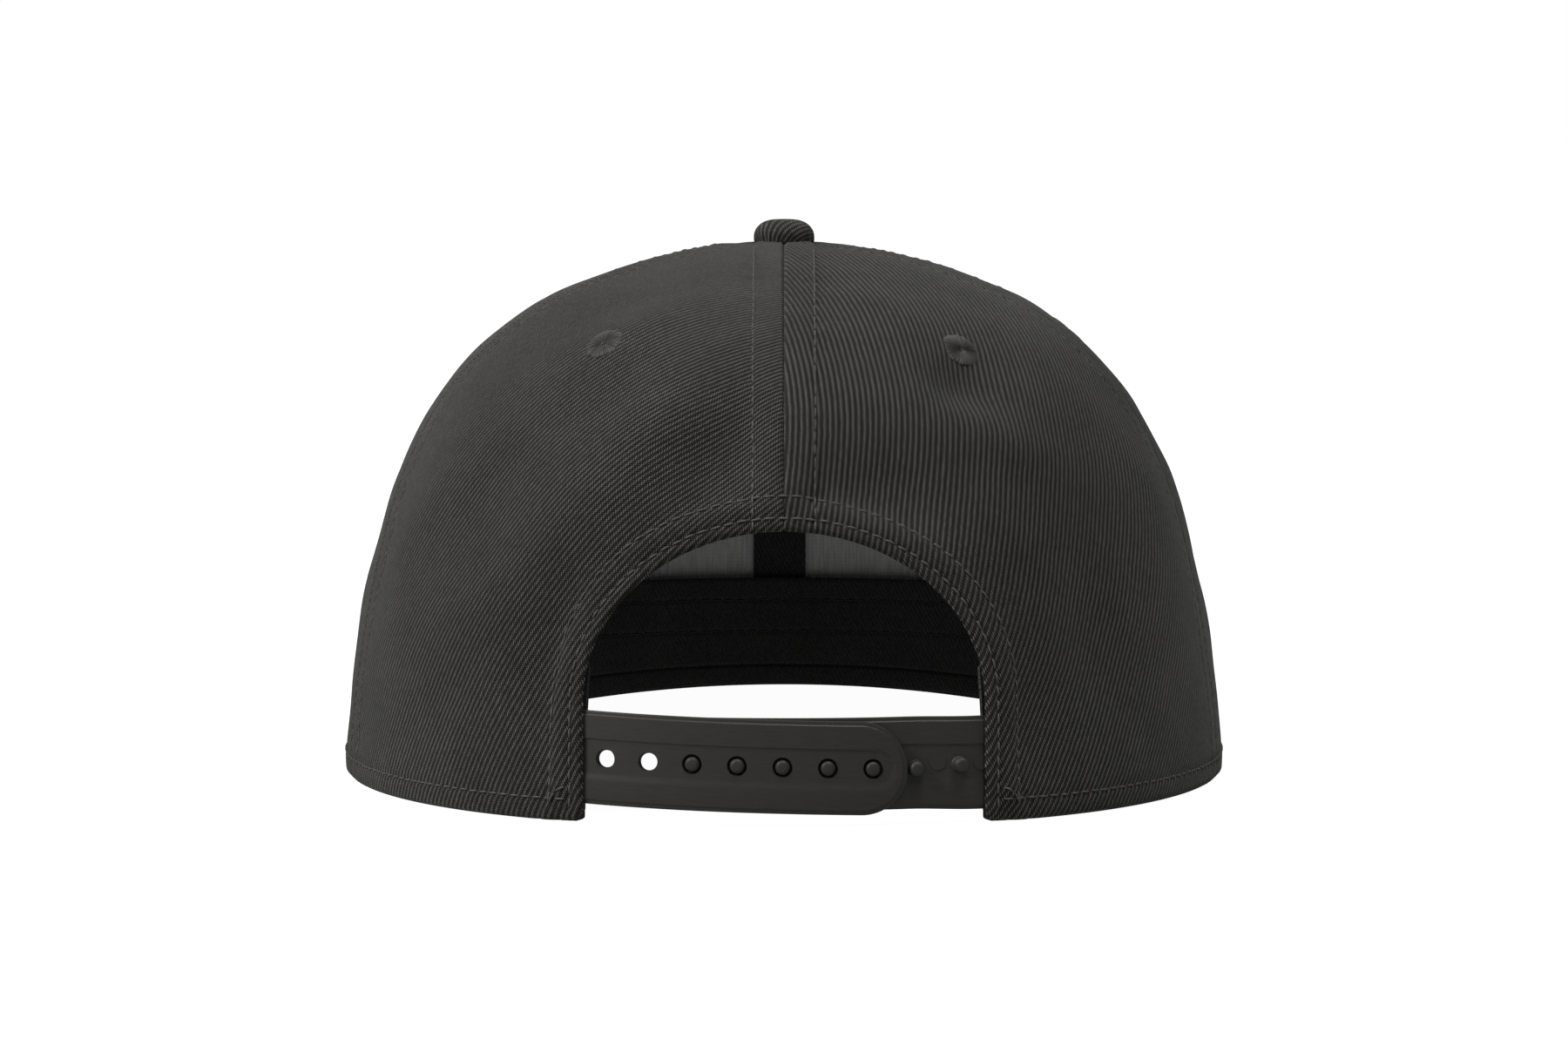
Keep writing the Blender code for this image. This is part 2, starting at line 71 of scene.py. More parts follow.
# %% [markdown]
# ## The crown's measures
# A crown of cloth has no straight edge to measure from. Two coordinates place everything on
# it: turn, the azimuth, which is 0 in the middle of the rear, and climb, which runs from 0 at
# the hem to 1 under the button. The solids were made from the same sections, so a point
# worked out here lies on them.

# %% Sizes of the cap
button_low, button_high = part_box("button")
AXIS_Y = (button_low.y + button_high.y) / 2
HALF_WIDTH = 94.3 * MM
REAR_DEPTH = 102.0 * MM
FRONT_DEPTH = 99.0 * MM
CROWN_HEIGHT = 113.0 * MM
FRONT_LIFT = 5.9 * MM
LIFT_TURN = math.radians(110)
SQUARENESS = 2.15
REAR_SEAM = 0.0
SIDE_SEAM = math.radians(73)
TEMPLE_SEAM = math.radians(127)
FRONT_SEAM = math.pi
CROWN_HOLE = 3.0 * MM
ARCH_HALF_WIDTH = 40.8 * MM
ARCH_SPRING = 24.0 * MM
ARCH_TOP = 58.7 * MM
SECTIONS = np.array([
    # climb, rise, side, rear, front
    (0.00, 0.000, 1.000, 1.000, 1.000),
    (0.04, 0.060, 1.000, 1.000, 1.000),
    (0.14, 0.208, 0.981, 0.985, 0.992),
    (0.27, 0.397, 0.939, 0.951, 0.969),
    (0.40, 0.586, 0.870, 0.890, 0.918),
    (0.52, 0.740, 0.762, 0.788, 0.822),
    (0.64, 0.864, 0.600, 0.623, 0.654),
    (0.76, 0.944, 0.391, 0.405, 0.424),
    (0.88, 0.986, 0.181, 0.186, 0.192),
    (1.00, 1.000, 0.000, 0.000, 0.000),
])
side_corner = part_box("panel_side_right")[1]
print("half width of the solid and of the sections:", side_corner.x, HALF_WIDTH)

# %% [markdown]
# ## The crown as a surface
# Between the rows of the table the crown is a smooth curve, and round its axis it is a little
# squarer than an ellipse, as a stiffened cap is. Any point of the cloth can then be asked for
# by turn and climb, and so can the direction that faces out of it.

# %% The crown as a surface
def share(climb, column):
    """Reads a column of SECTIONS as a smooth curve through its rows."""
    climbs, values = SECTIONS[:, 0], SECTIONS[:, column]
    slopes = np.empty(len(climbs))
    slopes[1:-1] = (values[2:] - values[:-2]) / (climbs[2:] - climbs[:-2])
    slopes[0] = (values[1] - values[0]) / (climbs[1] - climbs[0])
    slopes[-1] = (values[-1] - values[-2]) / (climbs[-1] - climbs[-2])
    climb = np.clip(climb, 0.0, 1.0)
    low = np.clip(np.searchsorted(climbs, climb, side="right") - 1, 0, len(climbs) - 2)
    span = climbs[low + 1] - climbs[low]
    t = (climb - climbs[low]) / span
    ends = values[low] * (2 * t**3 - 3 * t**2 + 1) + values[low + 1] * (3 * t**2 - 2 * t**3)
    bends = slopes[low] * (t**3 - 2 * t**2 + t) + slopes[low + 1] * (t**3 - t**2)
    return ends + span * bends


def hem_height(turn):
    past = np.clip((np.abs(turn) - LIFT_TURN) / (math.pi - LIFT_TURN), 0.0, 1.0)
    return FRONT_LIFT * (1 - np.cos(math.pi * past)) / 2


def crown_point(turn, climb):
    turn, climb = np.broadcast_arrays(np.asarray(turn, float), np.asarray(climb, float))
    width = HALF_WIDTH * share(climb, 2)
    depth = np.where(np.cos(turn) > 0, REAR_DEPTH * share(climb, 3), FRONT_DEPTH * share(climb, 4))
    sine, cosine = np.sin(turn), np.cos(turn)
    radius = (
        np.abs(sine / width) ** SQUARENESS + np.abs(cosine / depth) ** SQUARENESS
    ) ** (-1 / SQUARENESS)
    hem = hem_height(turn)
    height = hem + (CROWN_HEIGHT - hem) * share(climb, 1)
    return np.stack([radius * sine, AXIS_Y - radius * cosine, height], axis=-1)


def crown_normal(turn, climb):
    step = 0.01
    climb = np.asarray(climb, float)
    below = np.maximum(climb - step, 0.0)
    above = np.maximum(np.minimum(climb + step, 1 - step / 10), step)
    along = crown_point(turn + step, climb) - crown_point(turn - step, climb)
    up = crown_point(turn, above) - crown_point(turn, below)
    normal = np.cross(along, up)
    return normal / np.linalg.norm(normal, axis=-1, keepdims=True)


def on_crown(turn, climb, out=0.0):
    """Points that stand out metres proud of the crown's surface."""
    out = np.asarray(out, float)[..., None]
    return crown_point(turn, climb) + out * crown_normal(turn, climb)


FINE_CLIMBS = np.linspace(0.0, 0.999, 2000)
FINE_RISES = share(FINE_CLIMBS, 1)


def climb_at_height(turn, height):
    hem = hem_height(turn)
    return np.interp((height - hem) / (CROWN_HEIGHT - hem), FINE_RISES, FINE_CLIMBS)


def climb_at_radius(radius):
    return float(np.interp(-radius, -HALF_WIDTH * share(FINE_CLIMBS, 2), FINE_CLIMBS))


def crown_place(x, height):
    """Turn and climb of points on the rear of the crown, from their x and height."""
    climb = climb_at_height(0.0, height)
    width, depth = HALF_WIDTH * share(climb, 2), REAR_DEPTH * share(climb, 3)
    back = depth * (1 - np.abs(x / width) ** SQUARENESS) ** (1 / SQUARENESS)
    return np.arctan2(x, back), climb


def smooth_step(low, high, value):
    t = np.clip((value - low) / (high - low), 0.0, 1.0)
    return t * t * (3 - 2 * t)


def line_length(points):
    """Distance along a line of points, at each of them."""
    steps = np.linalg.norm(np.diff(points, axis=0), axis=1)
    return np.concatenate([[0.0], np.cumsum(steps)])


def line_point(line, lengths, where):
    """Points of a line at distances along it."""
    return np.stack([np.interp(where, lengths, column) for column in line.T], axis=-1)


def from_axis(points):
    """Level distance from the crown's upright axis."""
    return np.hypot(points[..., 0], points[..., 1] - AXIS_Y)


def bell(distance, width):
    """1 at no distance, falling softly to 0 over about two widths."""
    return np.exp(-((distance / width) ** 2))


def wrap_turn(turn):
    return np.where(turn > math.pi, turn - 2 * math.pi, turn)


# %% [markdown]
# ## The camera
# The photograph was taken from a little above the cap's top, with a long lens: the hem's
# curve and the front hem, seen through the arch, give 1.2 m of distance and 157 mm of height.
# A tilt puts the horizon near the top of the picture. No shift is needed.

# %% Camera
FRAME_WIDTH_PX, FRAME_HEIGHT_PX = 1800, 1200
HORIZON_PX = 41
FOCAL_PX = 6396
EYE_DISTANCE = 1.2
EYE_HEIGHT = 0.157
SENSOR_MM = 36.0

tilt_down = math.atan((FRAME_HEIGHT_PX / 2 - HORIZON_PX) / FOCAL_PX)
camera_data = bpy.data.cameras.new("camera")
camera_data.sensor_width = SENSOR_MM
camera_data.lens = FOCAL_PX / FRAME_WIDTH_PX * SENSOR_MM
camera_data.clip_start, camera_data.clip_end = 0.05, 50.0
camera = bpy.data.objects.new("camera", camera_data)
bpy.context.scene.collection.objects.link(camera)
camera.location = (0.0, AXIS_Y - EYE_DISTANCE, EYE_HEIGHT)
camera.rotation_euler = (math.pi / 2 - tilt_down, 0.0, 0.0)
bpy.context.scene.camera = camera
print("lens mm:", round(camera_data.lens, 1), "tilt:", round(math.degrees(tilt_down), 2))

# %% [markdown]
# ## Helpers for materials
# A finish is a small tree of nodes. One function adds a node, sets it and links it. Colours
# are written as they look on a screen and turned to the linear values that light needs.

# %% Material helpers
def linear_colour(hex_text):
    channels = [int(hex_text[k : k + 2], 16) / 255 for k in (1, 3, 5)]
    linear = [c / 12.92 if c <= 0.04045 else ((c + 0.055) / 1.055) ** 2.4 for c in channels]
    return (*linear, 1.0)


def add_node(tree, kind, inputs=None, stops=(), **settings):
    """Adds a node with its settings, its inputs and the stops of a colour ramp.

    A node that is given as an input is linked by its first output.
    """
    node = tree.nodes.new("ShaderNode" + kind)
    for name, value in settings.items():
        setattr(node, name, value)
    for key, value in (inputs or {}).items():
        if isinstance(value, bpy.types.Node):
            value = value.outputs[0]
        if isinstance(value, bpy.types.NodeSocket):
            tree.links.new(value, node.inputs[key])
        else:
            node.inputs[key].default_value = value
    for number, (place, tint) in enumerate(stops):
        stop = node.color_ramp.elements[number]
        stop.position, stop.color = place, linear_colour(tint)
    return node


def start_material(name, **sockets):
    material = bpy.data.materials.new(name)
    material.use_nodes = True
    shader = material.node_tree.nodes["Principled BSDF"]
    for socket, value in sockets.items():
        shader.inputs[socket.replace("_", " ")].default_value = value
    return material, material.node_tree, shader


def give_surface(tree, shader, colour, height, depth_mm, strength):
    """Links a finish's colour to the shader, and the bump that its height makes."""
    tree.links.new(colour.outputs[0], shader.inputs["Base Color"])
    bump = add_node(
        tree, "Bump", {"Height": height, "Distance": depth_mm * MM, "Strength": strength}
    )
    tree.links.new(bump.outputs[0], shader.inputs["Normal"])


# %% [markdown]
# ## Cotton twill
# In this twill each warp yarn floats over two weft yarns and dives under two, and its
# neighbour does the same one weft higher. The floats stack up into slanting ribs, a
# millimetre apart: a rib of warp floats slants one way, and the lower band of weft floats
# between two ribs, darker by painted shade, slants the other way. The nodes below draw that
# weave from the yarn spacing itself. For warp and weft alike they number the yarns, find each
# float, and round it off towards its ends and its sides. The higher of the two shows. The bump
# comes from it, and so does the colour, with painted shade that darkens the weave where it
# lies low.

# %% Twill
WARP_SPACING = 0.373  # mm from yarn to yarn, across the grain
WEFT_SPACING = 0.444  # mm, along the grain
REPEAT = 4  # yarns after which the weave repeats
GRAIN_TURN = math.radians(-11)  # of the yarns on the flat cloth
WEFT_SHARE = 0.3  # height of the weft floats, which the warp pulls down
YARN_DIP = 0.08  # height at the sides of a float, where 1 is its crest
YARN_ROUNDING = 0.33  # how far the rounding reaches in from a float's side, in yarns
FLOAT_ENDS = (0.19, 0.36)  # where a float rises, in repeats from the middle of its dive
FLOAT_TONES = (0.68, 1.34)  # the darkest and the palest float
WEAVE_DEPTH = 0.28  # mm
WOBBLE_PER_MM = 0.35  # the yarns wander a little, every 3 mm
BLOTCH_PER_MM = 0.06  # the dye varies slowly, every 17 mm


def weave(tree, warp, weft, wobble):
    """Height of the weave from 0 to 1, a number for each float, and the flat place."""
    flat = add_node(tree, "UVMap", uv_map="cloth")
    noise = add_node(
        tree, "TexNoise", {"Vector": flat, "Scale": WOBBLE_PER_MM, "Detail": 1.0}
    ).outputs["Color"]
    centred = add_node(tree, "VectorMath", {0: noise, 1: (0.5, 0.5, 0.5)}, operation="SUBTRACT")
    pushed = add_node(
        tree, "VectorMath", {0: centred, 1: (wobble, wobble, 0.0), 2: flat},
        operation="MULTIPLY_ADD",
    )
    turned = add_node(
        tree, "VectorRotate", {"Vector": pushed, "Angle": GRAIN_TURN}, rotation_type="Z_AXIS"
    )
    yarns = add_node(tree, "VectorMath", {0: turned, 1: (warp, weft, 1.0)}, operation="DIVIDE")
    across, up = add_node(tree, "SeparateXYZ", {0: yarns}).outputs[:2]
    floats = []
    for along, beside, first, crest in ((up, across, 0.25, 1.0), (across, up, 0.0, WEFT_SHARE)):
        yarn = add_node(tree, "Math", {0: beside}, operation="FLOOR")
        ahead = add_node(tree, "Math", {0: along, 1: yarn}, operation="SUBTRACT")
        repeats = add_node(
            tree, "Math", {0: ahead, 1: 1 / REPEAT, 2: first}, operation="MULTIPLY_ADD"
        )
        from_dive = add_node(tree, "Math", {0: repeats, 1: 0.5}, operation="PINGPONG")
        from_side = add_node(tree, "Math", {0: beside, 1: 0.5}, operation="PINGPONG")
        rise = add_node(
            tree, "MapRange",
            {
                "Value": from_dive, "From Min": FLOAT_ENDS[0], "From Max": FLOAT_ENDS[1],
                "To Max": crest,
            },
            interpolation_type="SMOOTHSTEP",
        )
        roundness = add_node(
            tree, "MapRange",
            {"Value": from_side, "From Max": YARN_ROUNDING, "To Min": YARN_DIP},
            interpolation_type="SMOOTHSTEP",
        )
        height = add_node(tree, "Math", {0: rise, 1: roundness}, operation="MULTIPLY")
        number = add_node(tree, "Math", {0: repeats}, operation="FLOOR")
        name = add_node(tree, "CombineXYZ", {0: number, 1: yarn})
        floats.append((height, name))
    (warp_height, warp_name), (weft_height, weft_name) = floats
    height = add_node(tree, "Math", {0: warp_height, 1: weft_height}, operation="MAXIMUM")
    on_top = add_node(tree, "Math", {0: warp_height, 1: weft_height}, operation="GREATER_THAN")
    name = add_node(
        tree, "Mix", {"Factor": on_top, 4: weft_name, 5: warp_name}, data_type="VECTOR"
    ).outputs[1]
    return height, name, flat


def twill_cloth(name, shaded_hollow, crest, warp=WARP_SPACING, weft=WEFT_SPACING, wobble=0.3):
    material, tree, shader = start_material(
        name, Roughness=0.92, Sheen_Weight=0.14, Sheen_Roughness=0.4,
        Specular_IOR_Level=0.15,
    )
    height, number, flat = weave(tree, warp, weft, wobble)
    chance = add_node(tree, "TexWhiteNoise", {"Vector": number}, noise_dimensions="3D")
    blotch = add_node(
        tree, "TexNoise", {"Vector": flat, "Scale": BLOTCH_PER_MM, "Detail": 3.0}
    )
    dye = add_node(tree, "Math", {0: chance, 1: 0.8, 2: blotch}, operation="MULTIPLY_ADD")
    # Painted shade: the colour darkens with the weave's depth, from the crest tone on top of the
    # floats to the shaded hollow tone between them, so the lower weft floats are darker too.
    ramp = add_node(tree, "ValToRGB", {"Fac": height}, ((0.12, shaded_hollow), (0.95, crest)))
    tone = add_node(
        tree, "MapRange",
        {
            "Value": dye, "From Min": 0.4, "From Max": 1.4,
            "To Min": FLOAT_TONES[0], "To Max": FLOAT_TONES[1],
        },
    )
    colour = add_node(tree, "VectorMath", {0: ramp, "Scale": tone}, operation="SCALE")
    give_surface(tree, shader, colour, height, WEAVE_DEPTH, 1.0)
    return material


charcoal_twill = twill_cloth("charcoal_cotton_twill", "#090908", "#5c5a56")

# %% [markdown]
# ## Thread and black linings
# Sewing thread is a spun polyester, a little paler than the cloth, and a noise is enough for
# it. The tapes and the sweatband are twill again, with closer yarns, dyed near black.

# %% Plain finishes
THREAD_TWIST = MM / 3  # length of a twist of sewing thread, over which its tone changes


def noisy_finish(name, low, high, scale, depth_mm, **sockets):
    """A finish whose colour and bump follow one noise, read from the object's own place."""
    material, tree, shader = start_material(name, **sockets)
    place = add_node(tree, "TexCoord").outputs["Object"]
    noise = add_node(tree, "TexNoise", {"Vector": place, "Scale": scale, "Detail": 4.0})
    ramp = add_node(tree, "ValToRGB", {"Fac": noise}, ((0.3, low), (0.7, high)))
    give_surface(tree, shader, ramp, noise, depth_mm, 0.6)
    return material


sewing_thread = noisy_finish(
    "polyester_sewing_thread", "#3b3a37", "#52504c", 1 / THREAD_TWIST, 0.05, Roughness=0.6
)
lining_thread = noisy_finish(
    "black_thread", "#232322", "#323231", 1 / THREAD_TWIST, 0.04, Roughness=0.6
)
black_tape = twill_cloth("black_twill_tape", "#333333", "#484848", 0.3, 0.36)
sweatband_cloth = twill_cloth("black_sweatband_cloth", "#373736", "#424241", 0.3, 0.36)

# %% [markdown]
# ## Embroidery thread
# Eyelets are worked in rayon, smoother than cotton. Each thread is pale along its middle, and
# painted shade darkens it where it meets the next one, so the pattern only has to count threads.

# %% Embroidery thread
def satin_stitched_thread():
    """Thread laid side by side, with painted shade where two threads meet. The flat place counts
    threads.
    """
    material, tree, shader = start_material(
        "rayon_embroidery_thread", Roughness=0.6, Sheen_Weight=0.15
    )
    flat = add_node(tree, "UVMap", uv_map="cloth")
    count = add_node(tree, "SeparateXYZ", {0: flat})
    from_side = add_node(tree, "Math", {0: count, 1: 0.5}, operation="PINGPONG")
    thread = add_node(tree, "Math", {0: count}, operation="FLOOR")
    chance = add_node(tree, "TexWhiteNoise", {"W": thread}, noise_dimensions="1D")
    # Painted shade: dark at each thread's sides, where it meets the next thread, and pale along
    # its middle.
    stops = ((0.0, "#151413"), (0.38, "#474541"))
    ramp = add_node(tree, "ValToRGB", {"Fac": from_side}, stops)
    tone = add_node(tree, "MapRange", {"Value": chance, "To Min": 0.7, "To Max": 1.15})
    colour = add_node(tree, "VectorMath", {0: ramp, "Scale": tone}, operation="SCALE")
    tree.links.new(colour.outputs[0], shader.inputs["Base Color"])
    return material


embroidery_thread = satin_stitched_thread()

# %% [markdown]
# ## Buckram
# Buckram is an open cotton mesh, stiffened with size and pale grey. Two crossed waves give the
# mesh, and a noise drawn out upwards gives the faint streaks of its yarns.

# %% Buckram
BUCKRAM_YARN = 0.9  # mm from yarn to yarn; the real mesh is half that, too fine to show
BUCKRAM_STREAKS = (1.6, 0.15, 1.0)  # per mm: streaks 0.6 mm wide and 7 mm long


def stiff_buckram():
    material, tree, shader = start_material("grey_buckram", Roughness=0.95)
    flat = add_node(tree, "UVMap", uv_map="cloth")
    waves = []
    for side in add_node(tree, "SeparateXYZ", {0: flat}).outputs[:2]:
        turns = add_node(
            tree, "Math", {0: side, 1: 2 * math.pi / BUCKRAM_YARN}, operation="MULTIPLY"
        )
        waves.append(add_node(tree, "Math", {0: turns}, operation="SINE"))
    mesh = add_node(tree, "Math", {0: waves[0], 1: waves[1]}, operation="MAXIMUM")
    streak = add_node(tree, "VectorMath", {0: flat, 1: BUCKRAM_STREAKS}, operation="MULTIPLY")
    noise = add_node(tree, "TexNoise", {"Vector": streak, "Scale": 1.0, "Detail": 3.0})
    mixed = add_node(tree, "Math", {0: mesh, 1: 0.07, 2: noise}, operation="MULTIPLY_ADD")
    stops = ((0.25, "#b8b8b7"), (0.8, "#e2e2e1"))
    ramp = add_node(tree, "ValToRGB", {"Fac": mixed}, stops)
    give_surface(tree, shader, ramp, mesh, 0.08, 0.5)
    return material


grey_buckram = stiff_buckram()

# %% [markdown]
# ## Strap plastic
# The strap is polyethylene, moulded in dark grey. It cools with faint flow lines along its
# length, so a noise is drawn out that way. The mould was matt, which leaves a satin gloss.

# %% Strap plastic
FLOW_LINES = (0.25, 2.8, 1.0)  # per mm: lines 4 mm long and 0.4 mm wide


def moulded_plastic():
    """Satin polyethylene with flow lines that run along the strap's own length."""
    material, tree, shader = start_material(
        "moulded_polyethylene", Roughness=0.5, IOR=1.51, Specular_IOR_Level=0.3
    )
    flat = add_node(tree, "UVMap", uv_map="cloth")
    drawn = add_node(tree, "VectorMath", {0: flat, 1: FLOW_LINES}, operation="MULTIPLY")
    lines = add_node(tree, "TexNoise", {"Vector": drawn, "Scale": 1.0, "Detail": 8.0})
    stops = ((0.35, "#2e2d2b"), (0.65, "#33322f"))
    ramp = add_node(tree, "ValToRGB", {"Fac": lines}, stops)
    give_surface(tree, shader, ramp, lines, 0.02, 0.3)
    return material


strap_plastic = moulded_plastic()
print("materials:", len(bpy.data.materials))

# %% [markdown]
# ## Helpers for pieces
# Most of a cap is sheets. Each starts as Blender's own grid, which is flat and square. Its
# vertices are then laid over the crown, and a UV map keeps the cloth's flat size in
# millimetres, so that the weave follows the cut of the panel.

# %% Piece helpers
def add_grid(name, columns, rows):
    """Adds a grid and gives each vertex's place in it, from 0 to 1 both ways."""
    bpy.ops.object.select_all(action="DESELECT")
    bpy.ops.mesh.primitive_grid_add(x_subdivisions=columns, y_subdivisions=rows, size=1.0)
    piece = bpy.context.active_object
    piece.name = name
    places = read_points(piece)
    return piece, places[:, 0] + 0.5, places[:, 1] + 0.5


def read_points(piece):
    points = np.empty(len(piece.data.vertices) * 3)
    piece.data.vertices.foreach_get("co", points)
    return points.reshape(-1, 3)


def write_points(piece, points):
    piece.data.vertices.foreach_set("co", np.ascontiguousarray(points).ravel())
    piece.data.update()


def write_flat(piece, flat):
    """Keeps each vertex's place on the flat cloth, in millimetres, as the UV map cloth."""
    mesh = piece.data
    layer = mesh.uv_layers.active or mesh.uv_layers.new(name="cloth")
    layer.name = "cloth"
    corners = np.empty(len(mesh.loops), np.int32)
    mesh.loops.foreach_get("vertex_index", corners)
    layer.data.foreach_set("uv", (flat[corners] / MM).ravel())


def select_only(*pieces):
    bpy.ops.object.select_all(action="DESELECT")
    for piece in pieces:
        piece.select_set(True)
    bpy.context.view_layer.objects.active = pieces[0]


def polar(piece):
    """Angle, level radius and height of a new primitive's vertices."""
    x, y, z = read_points(piece).T
    return np.arctan2(y, x), np.hypot(x, y), z


def apply_modifier(piece, kind, **settings):
    modifier = piece.modifiers.new(kind.title(), kind)
    for name, value in settings.items():
        setattr(modifier, name, value)
    select_only(piece)
    bpy.ops.object.modifier_apply(modifier=modifier.name)


def close_up(piece):
    """Merges doubles, fills open ends and points all faces outwards."""
    select_only(piece)
    bpy.ops.object.mode_set(mode="EDIT")
    bpy.ops.mesh.select_all(action="SELECT")
    bpy.ops.mesh.remove_doubles(threshold=0.002 * MM)
    bpy.ops.mesh.fill_holes(sides=0)
    bpy.ops.mesh.select_all(action="SELECT")
    bpy.ops.mesh.normals_make_consistent(inside=False)
    bpy.ops.object.mode_set(mode="OBJECT")


def shade_round(piece, angle=40):
    select_only(piece)
    bpy.ops.object.shade_smooth_by_angle(angle=math.radians(angle))


def fit_piece(piece, material, slot, *nodes):
    """Gives a finished piece its material and its body, and hides the solids that it stands for.
    """
    piece.data.name = piece.name
    piece.data.materials.clear()
    piece.data.materials.append(material)
    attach(piece, "root")
    if nodes:
        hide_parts(*nodes)
    print(piece.name, len(piece.data.polygons), "faces")


GRAIN_LEAN = ((0.0, -0.09), (25.0, -0.05), (50.0, 0.22), (200.0, 0.24))  # mm up, slope


def flat_place(middle, turn, climb):
    """Where crown points lie on a panel's flat cloth, whose grain runs up its middle."""
    steps = 12
    across = np.zeros(len(turn))
    last = crown_point(np.full(len(turn), middle), climb)
    for k in range(1, steps + 1):
        point = crown_point(middle + (turn - middle) * k / steps, climb)
        across += np.linalg.norm(point - last, axis=1)
        last = point
    meridian = crown_point(middle, FINE_CLIMBS)
    up_line = line_length(meridian)
    radii = from_axis(meridian)
    # Laid flat, a level line round the crown is an arc, as on any cone.
    narrowing = np.maximum(-np.gradient(radii, up_line) / radii, 0.001)
    bend = np.interp(climb, FINE_CLIMBS, narrowing)
    angle = across * np.sign(turn - middle) * bend
    up = np.interp(climb, FINE_CLIMBS, up_line)
    slope = np.interp(up_line / MM, *zip(*GRAIN_LEAN))
    lean = np.concatenate([[0.0], np.cumsum(slope[1:] * np.diff(up_line))])
    eased = np.sign(middle) * np.interp(up, up_line, lean)
    return np.stack([np.sin(angle) / bend + eased, up + (1 - np.cos(angle)) / bend], axis=1)


# %% [markdown]
# ## The arch
# The opening is a straight-sided arch. Its outline is worked out once, from the rounded
# corner at the hem up one side to the rear seam, because the panel, its stitches and its
# rolled edge all follow it.

# %% Arch outline
CORNER_RADIUS = 2.6 * MM


def arch_outline(steps=240):
    """x and height along the arch's right half, from the hem to the rear seam."""
    lines = []
    for angle in np.linspace(0.0, math.pi / 2, 12, endpoint=False):
        lines.append((
            ARCH_HALF_WIDTH + CORNER_RADIUS * (1 - math.sin(angle)),
            CORNER_RADIUS * (1 - math.cos(angle)),
        ))
    for height in np.linspace(CORNER_RADIUS, ARCH_SPRING, 40, endpoint=False):
        lines.append((ARCH_HALF_WIDTH, height))
    for angle in np.linspace(0.0, math.pi / 2, 120):
        height = ARCH_SPRING + (ARCH_TOP - ARCH_SPRING) * math.sin(angle)
        lines.append((ARCH_HALF_WIDTH * math.cos(angle), height))
    lines = np.array(lines)
    lengths = line_length(lines)
    even = np.linspace(0.0, lengths[-1], steps)
    return line_point(lines, lengths, even)


arch_xz = arch_outline()
arch_turn, arch_climb = crown_place(arch_xz[:, 0], arch_xz[:, 1])
arch_line = crown_point(arch_turn, arch_climb)
print("arch edge, one side, mm:", round(line_length(arch_line)[-1] / MM, 1))


def beside_arch(distance):
    """Places on the crown at a distance outside the arch's edge."""
    along = np.gradient(arch_line, axis=0)
    along /= np.linalg.norm(along, axis=1, keepdims=True)
    beside = np.cross(along, crown_normal(arch_turn, arch_climb))
    points = arch_line + distance * beside
    points[:, 2] = np.maximum(points[:, 2], 0.0)
    return crown_place(np.maximum(points[:, 0], 0.0), points[:, 2])


# %% [markdown]
# ## Relief of the sewn cloth
# Sewing shapes cloth. Where two panels meet, the cut edges lie folded behind them, so a low
# ridge runs along the seam as far as the twin rows of stitches, and the seam itself is a
# narrow groove. Each row pulls the cloth down. The arch and the hem are turned under, so
# their edges are round and a little thick. These heights are added to the smooth crown.

# %% Relief
TWIN_ROW = 6.3 * MM
ARCH_ROWS = (2.6 * MM, 7.0 * MM)
HEM_ROW = 4.5 * MM
ROW_DEPTH = 0.32 * MM
ROW_WIDTH = 0.5 * MM
EDGE_RADIUS = 1.1 * MM
ARCH_LEAN = 0.8 * MM  # how far the arch's edge leans in
GROOVE_WIDTH = 0.36 * MM
REAR_GROOVE = 0.58 * MM
SIDE_GROOVE = 0.22 * MM  # the other seams are pulled less tight
PUCKER_RISE = 0.07 * MM
PUCKER_WIDTH = 3.2 * MM


def row_dip(distance, row, depth=ROW_DEPTH):
    return -depth * bell(distance - row, ROW_WIDTH)


def rolled(distance):
    """The fall of a folded edge, which is round."""
    inside = np.clip(EDGE_RADIUS - distance, 0.0, 0.96 * EDGE_RADIUS)
    return np.sqrt(EDGE_RADIUS**2 - inside**2) - EDGE_RADIUS


def ridge(distance, row, height):
    return height * (1 - smooth_step(row - 0.6 * MM, row + 0.9 * MM, distance))


def seam_relief(distance, groove):
    return row_dip(distance, TWIN_ROW, 0.6 * groove) - groove * bell(distance, GROOVE_WIDTH)


def gentle_wave(flat, seed):
    """Slow unevenness of cloth that no board holds flat."""
    x, y = flat[:, 0] / MM, flat[:, 1] / MM
    wave = np.zeros(len(x))
    chance = np.random.default_rng(seed)
    for length, size in ((46, 0.30), (29, 0.20), (17, 0.10), (9, 0.035)):
        for _ in range(3):
            heading, phase = chance.uniform(0, math.pi), chance.uniform(0, 2 * math.pi)
            reach = (x * math.cos(heading) + y * math.sin(heading)) * 2 * math.pi / length
            wave += size * np.sin(reach + phase) / 3
    return wave * MM


# Dents and soft folds of the two rear panels, in the plane seen from behind, in mm
DENTS = (
    # x, height, half length, half width, heading in degrees, rise
    (-34, 68, 28, 9.5, 50, 2.7),
    (-13, 72, 13, 8.5, 45, -2.9),
    (-24, 100, 15, 5.0, 24, 1.1),
    (-46, 34, 18, 8.0, 80, -2.0),
    (-62, 60, 16, 8.0, 60, -1.3),
    (37, 87, 8, 6.5, -20, -2.9),
    (41, 77, 18, 5.0, -25, 1.7),
    (18, 66, 16, 9.0, -18, -3.4),
    (18, 102, 12, 5.0, -25, 1.0),
    (63, 36, 18, 8.0, 100, -1.8),
    (51, 20, 12, 8.0, 90, -1.2),
    (78, 50, 22, 8.0, 105, 1.3),
)


def dent_relief(points):
    relief = np.zeros(len(points))
    for x, height, long, wide, heading, rise in DENTS:
        east, north = points[:, 0] / MM - x, points[:, 2] / MM - height
        cosine, sine = math.cos(math.radians(heading)), math.sin(math.radians(heading))
        along, beside = east * cosine + north * sine, north * cosine - east * sine
        relief += rise * MM * bell(along, long) * bell(beside, wide)
    return relief


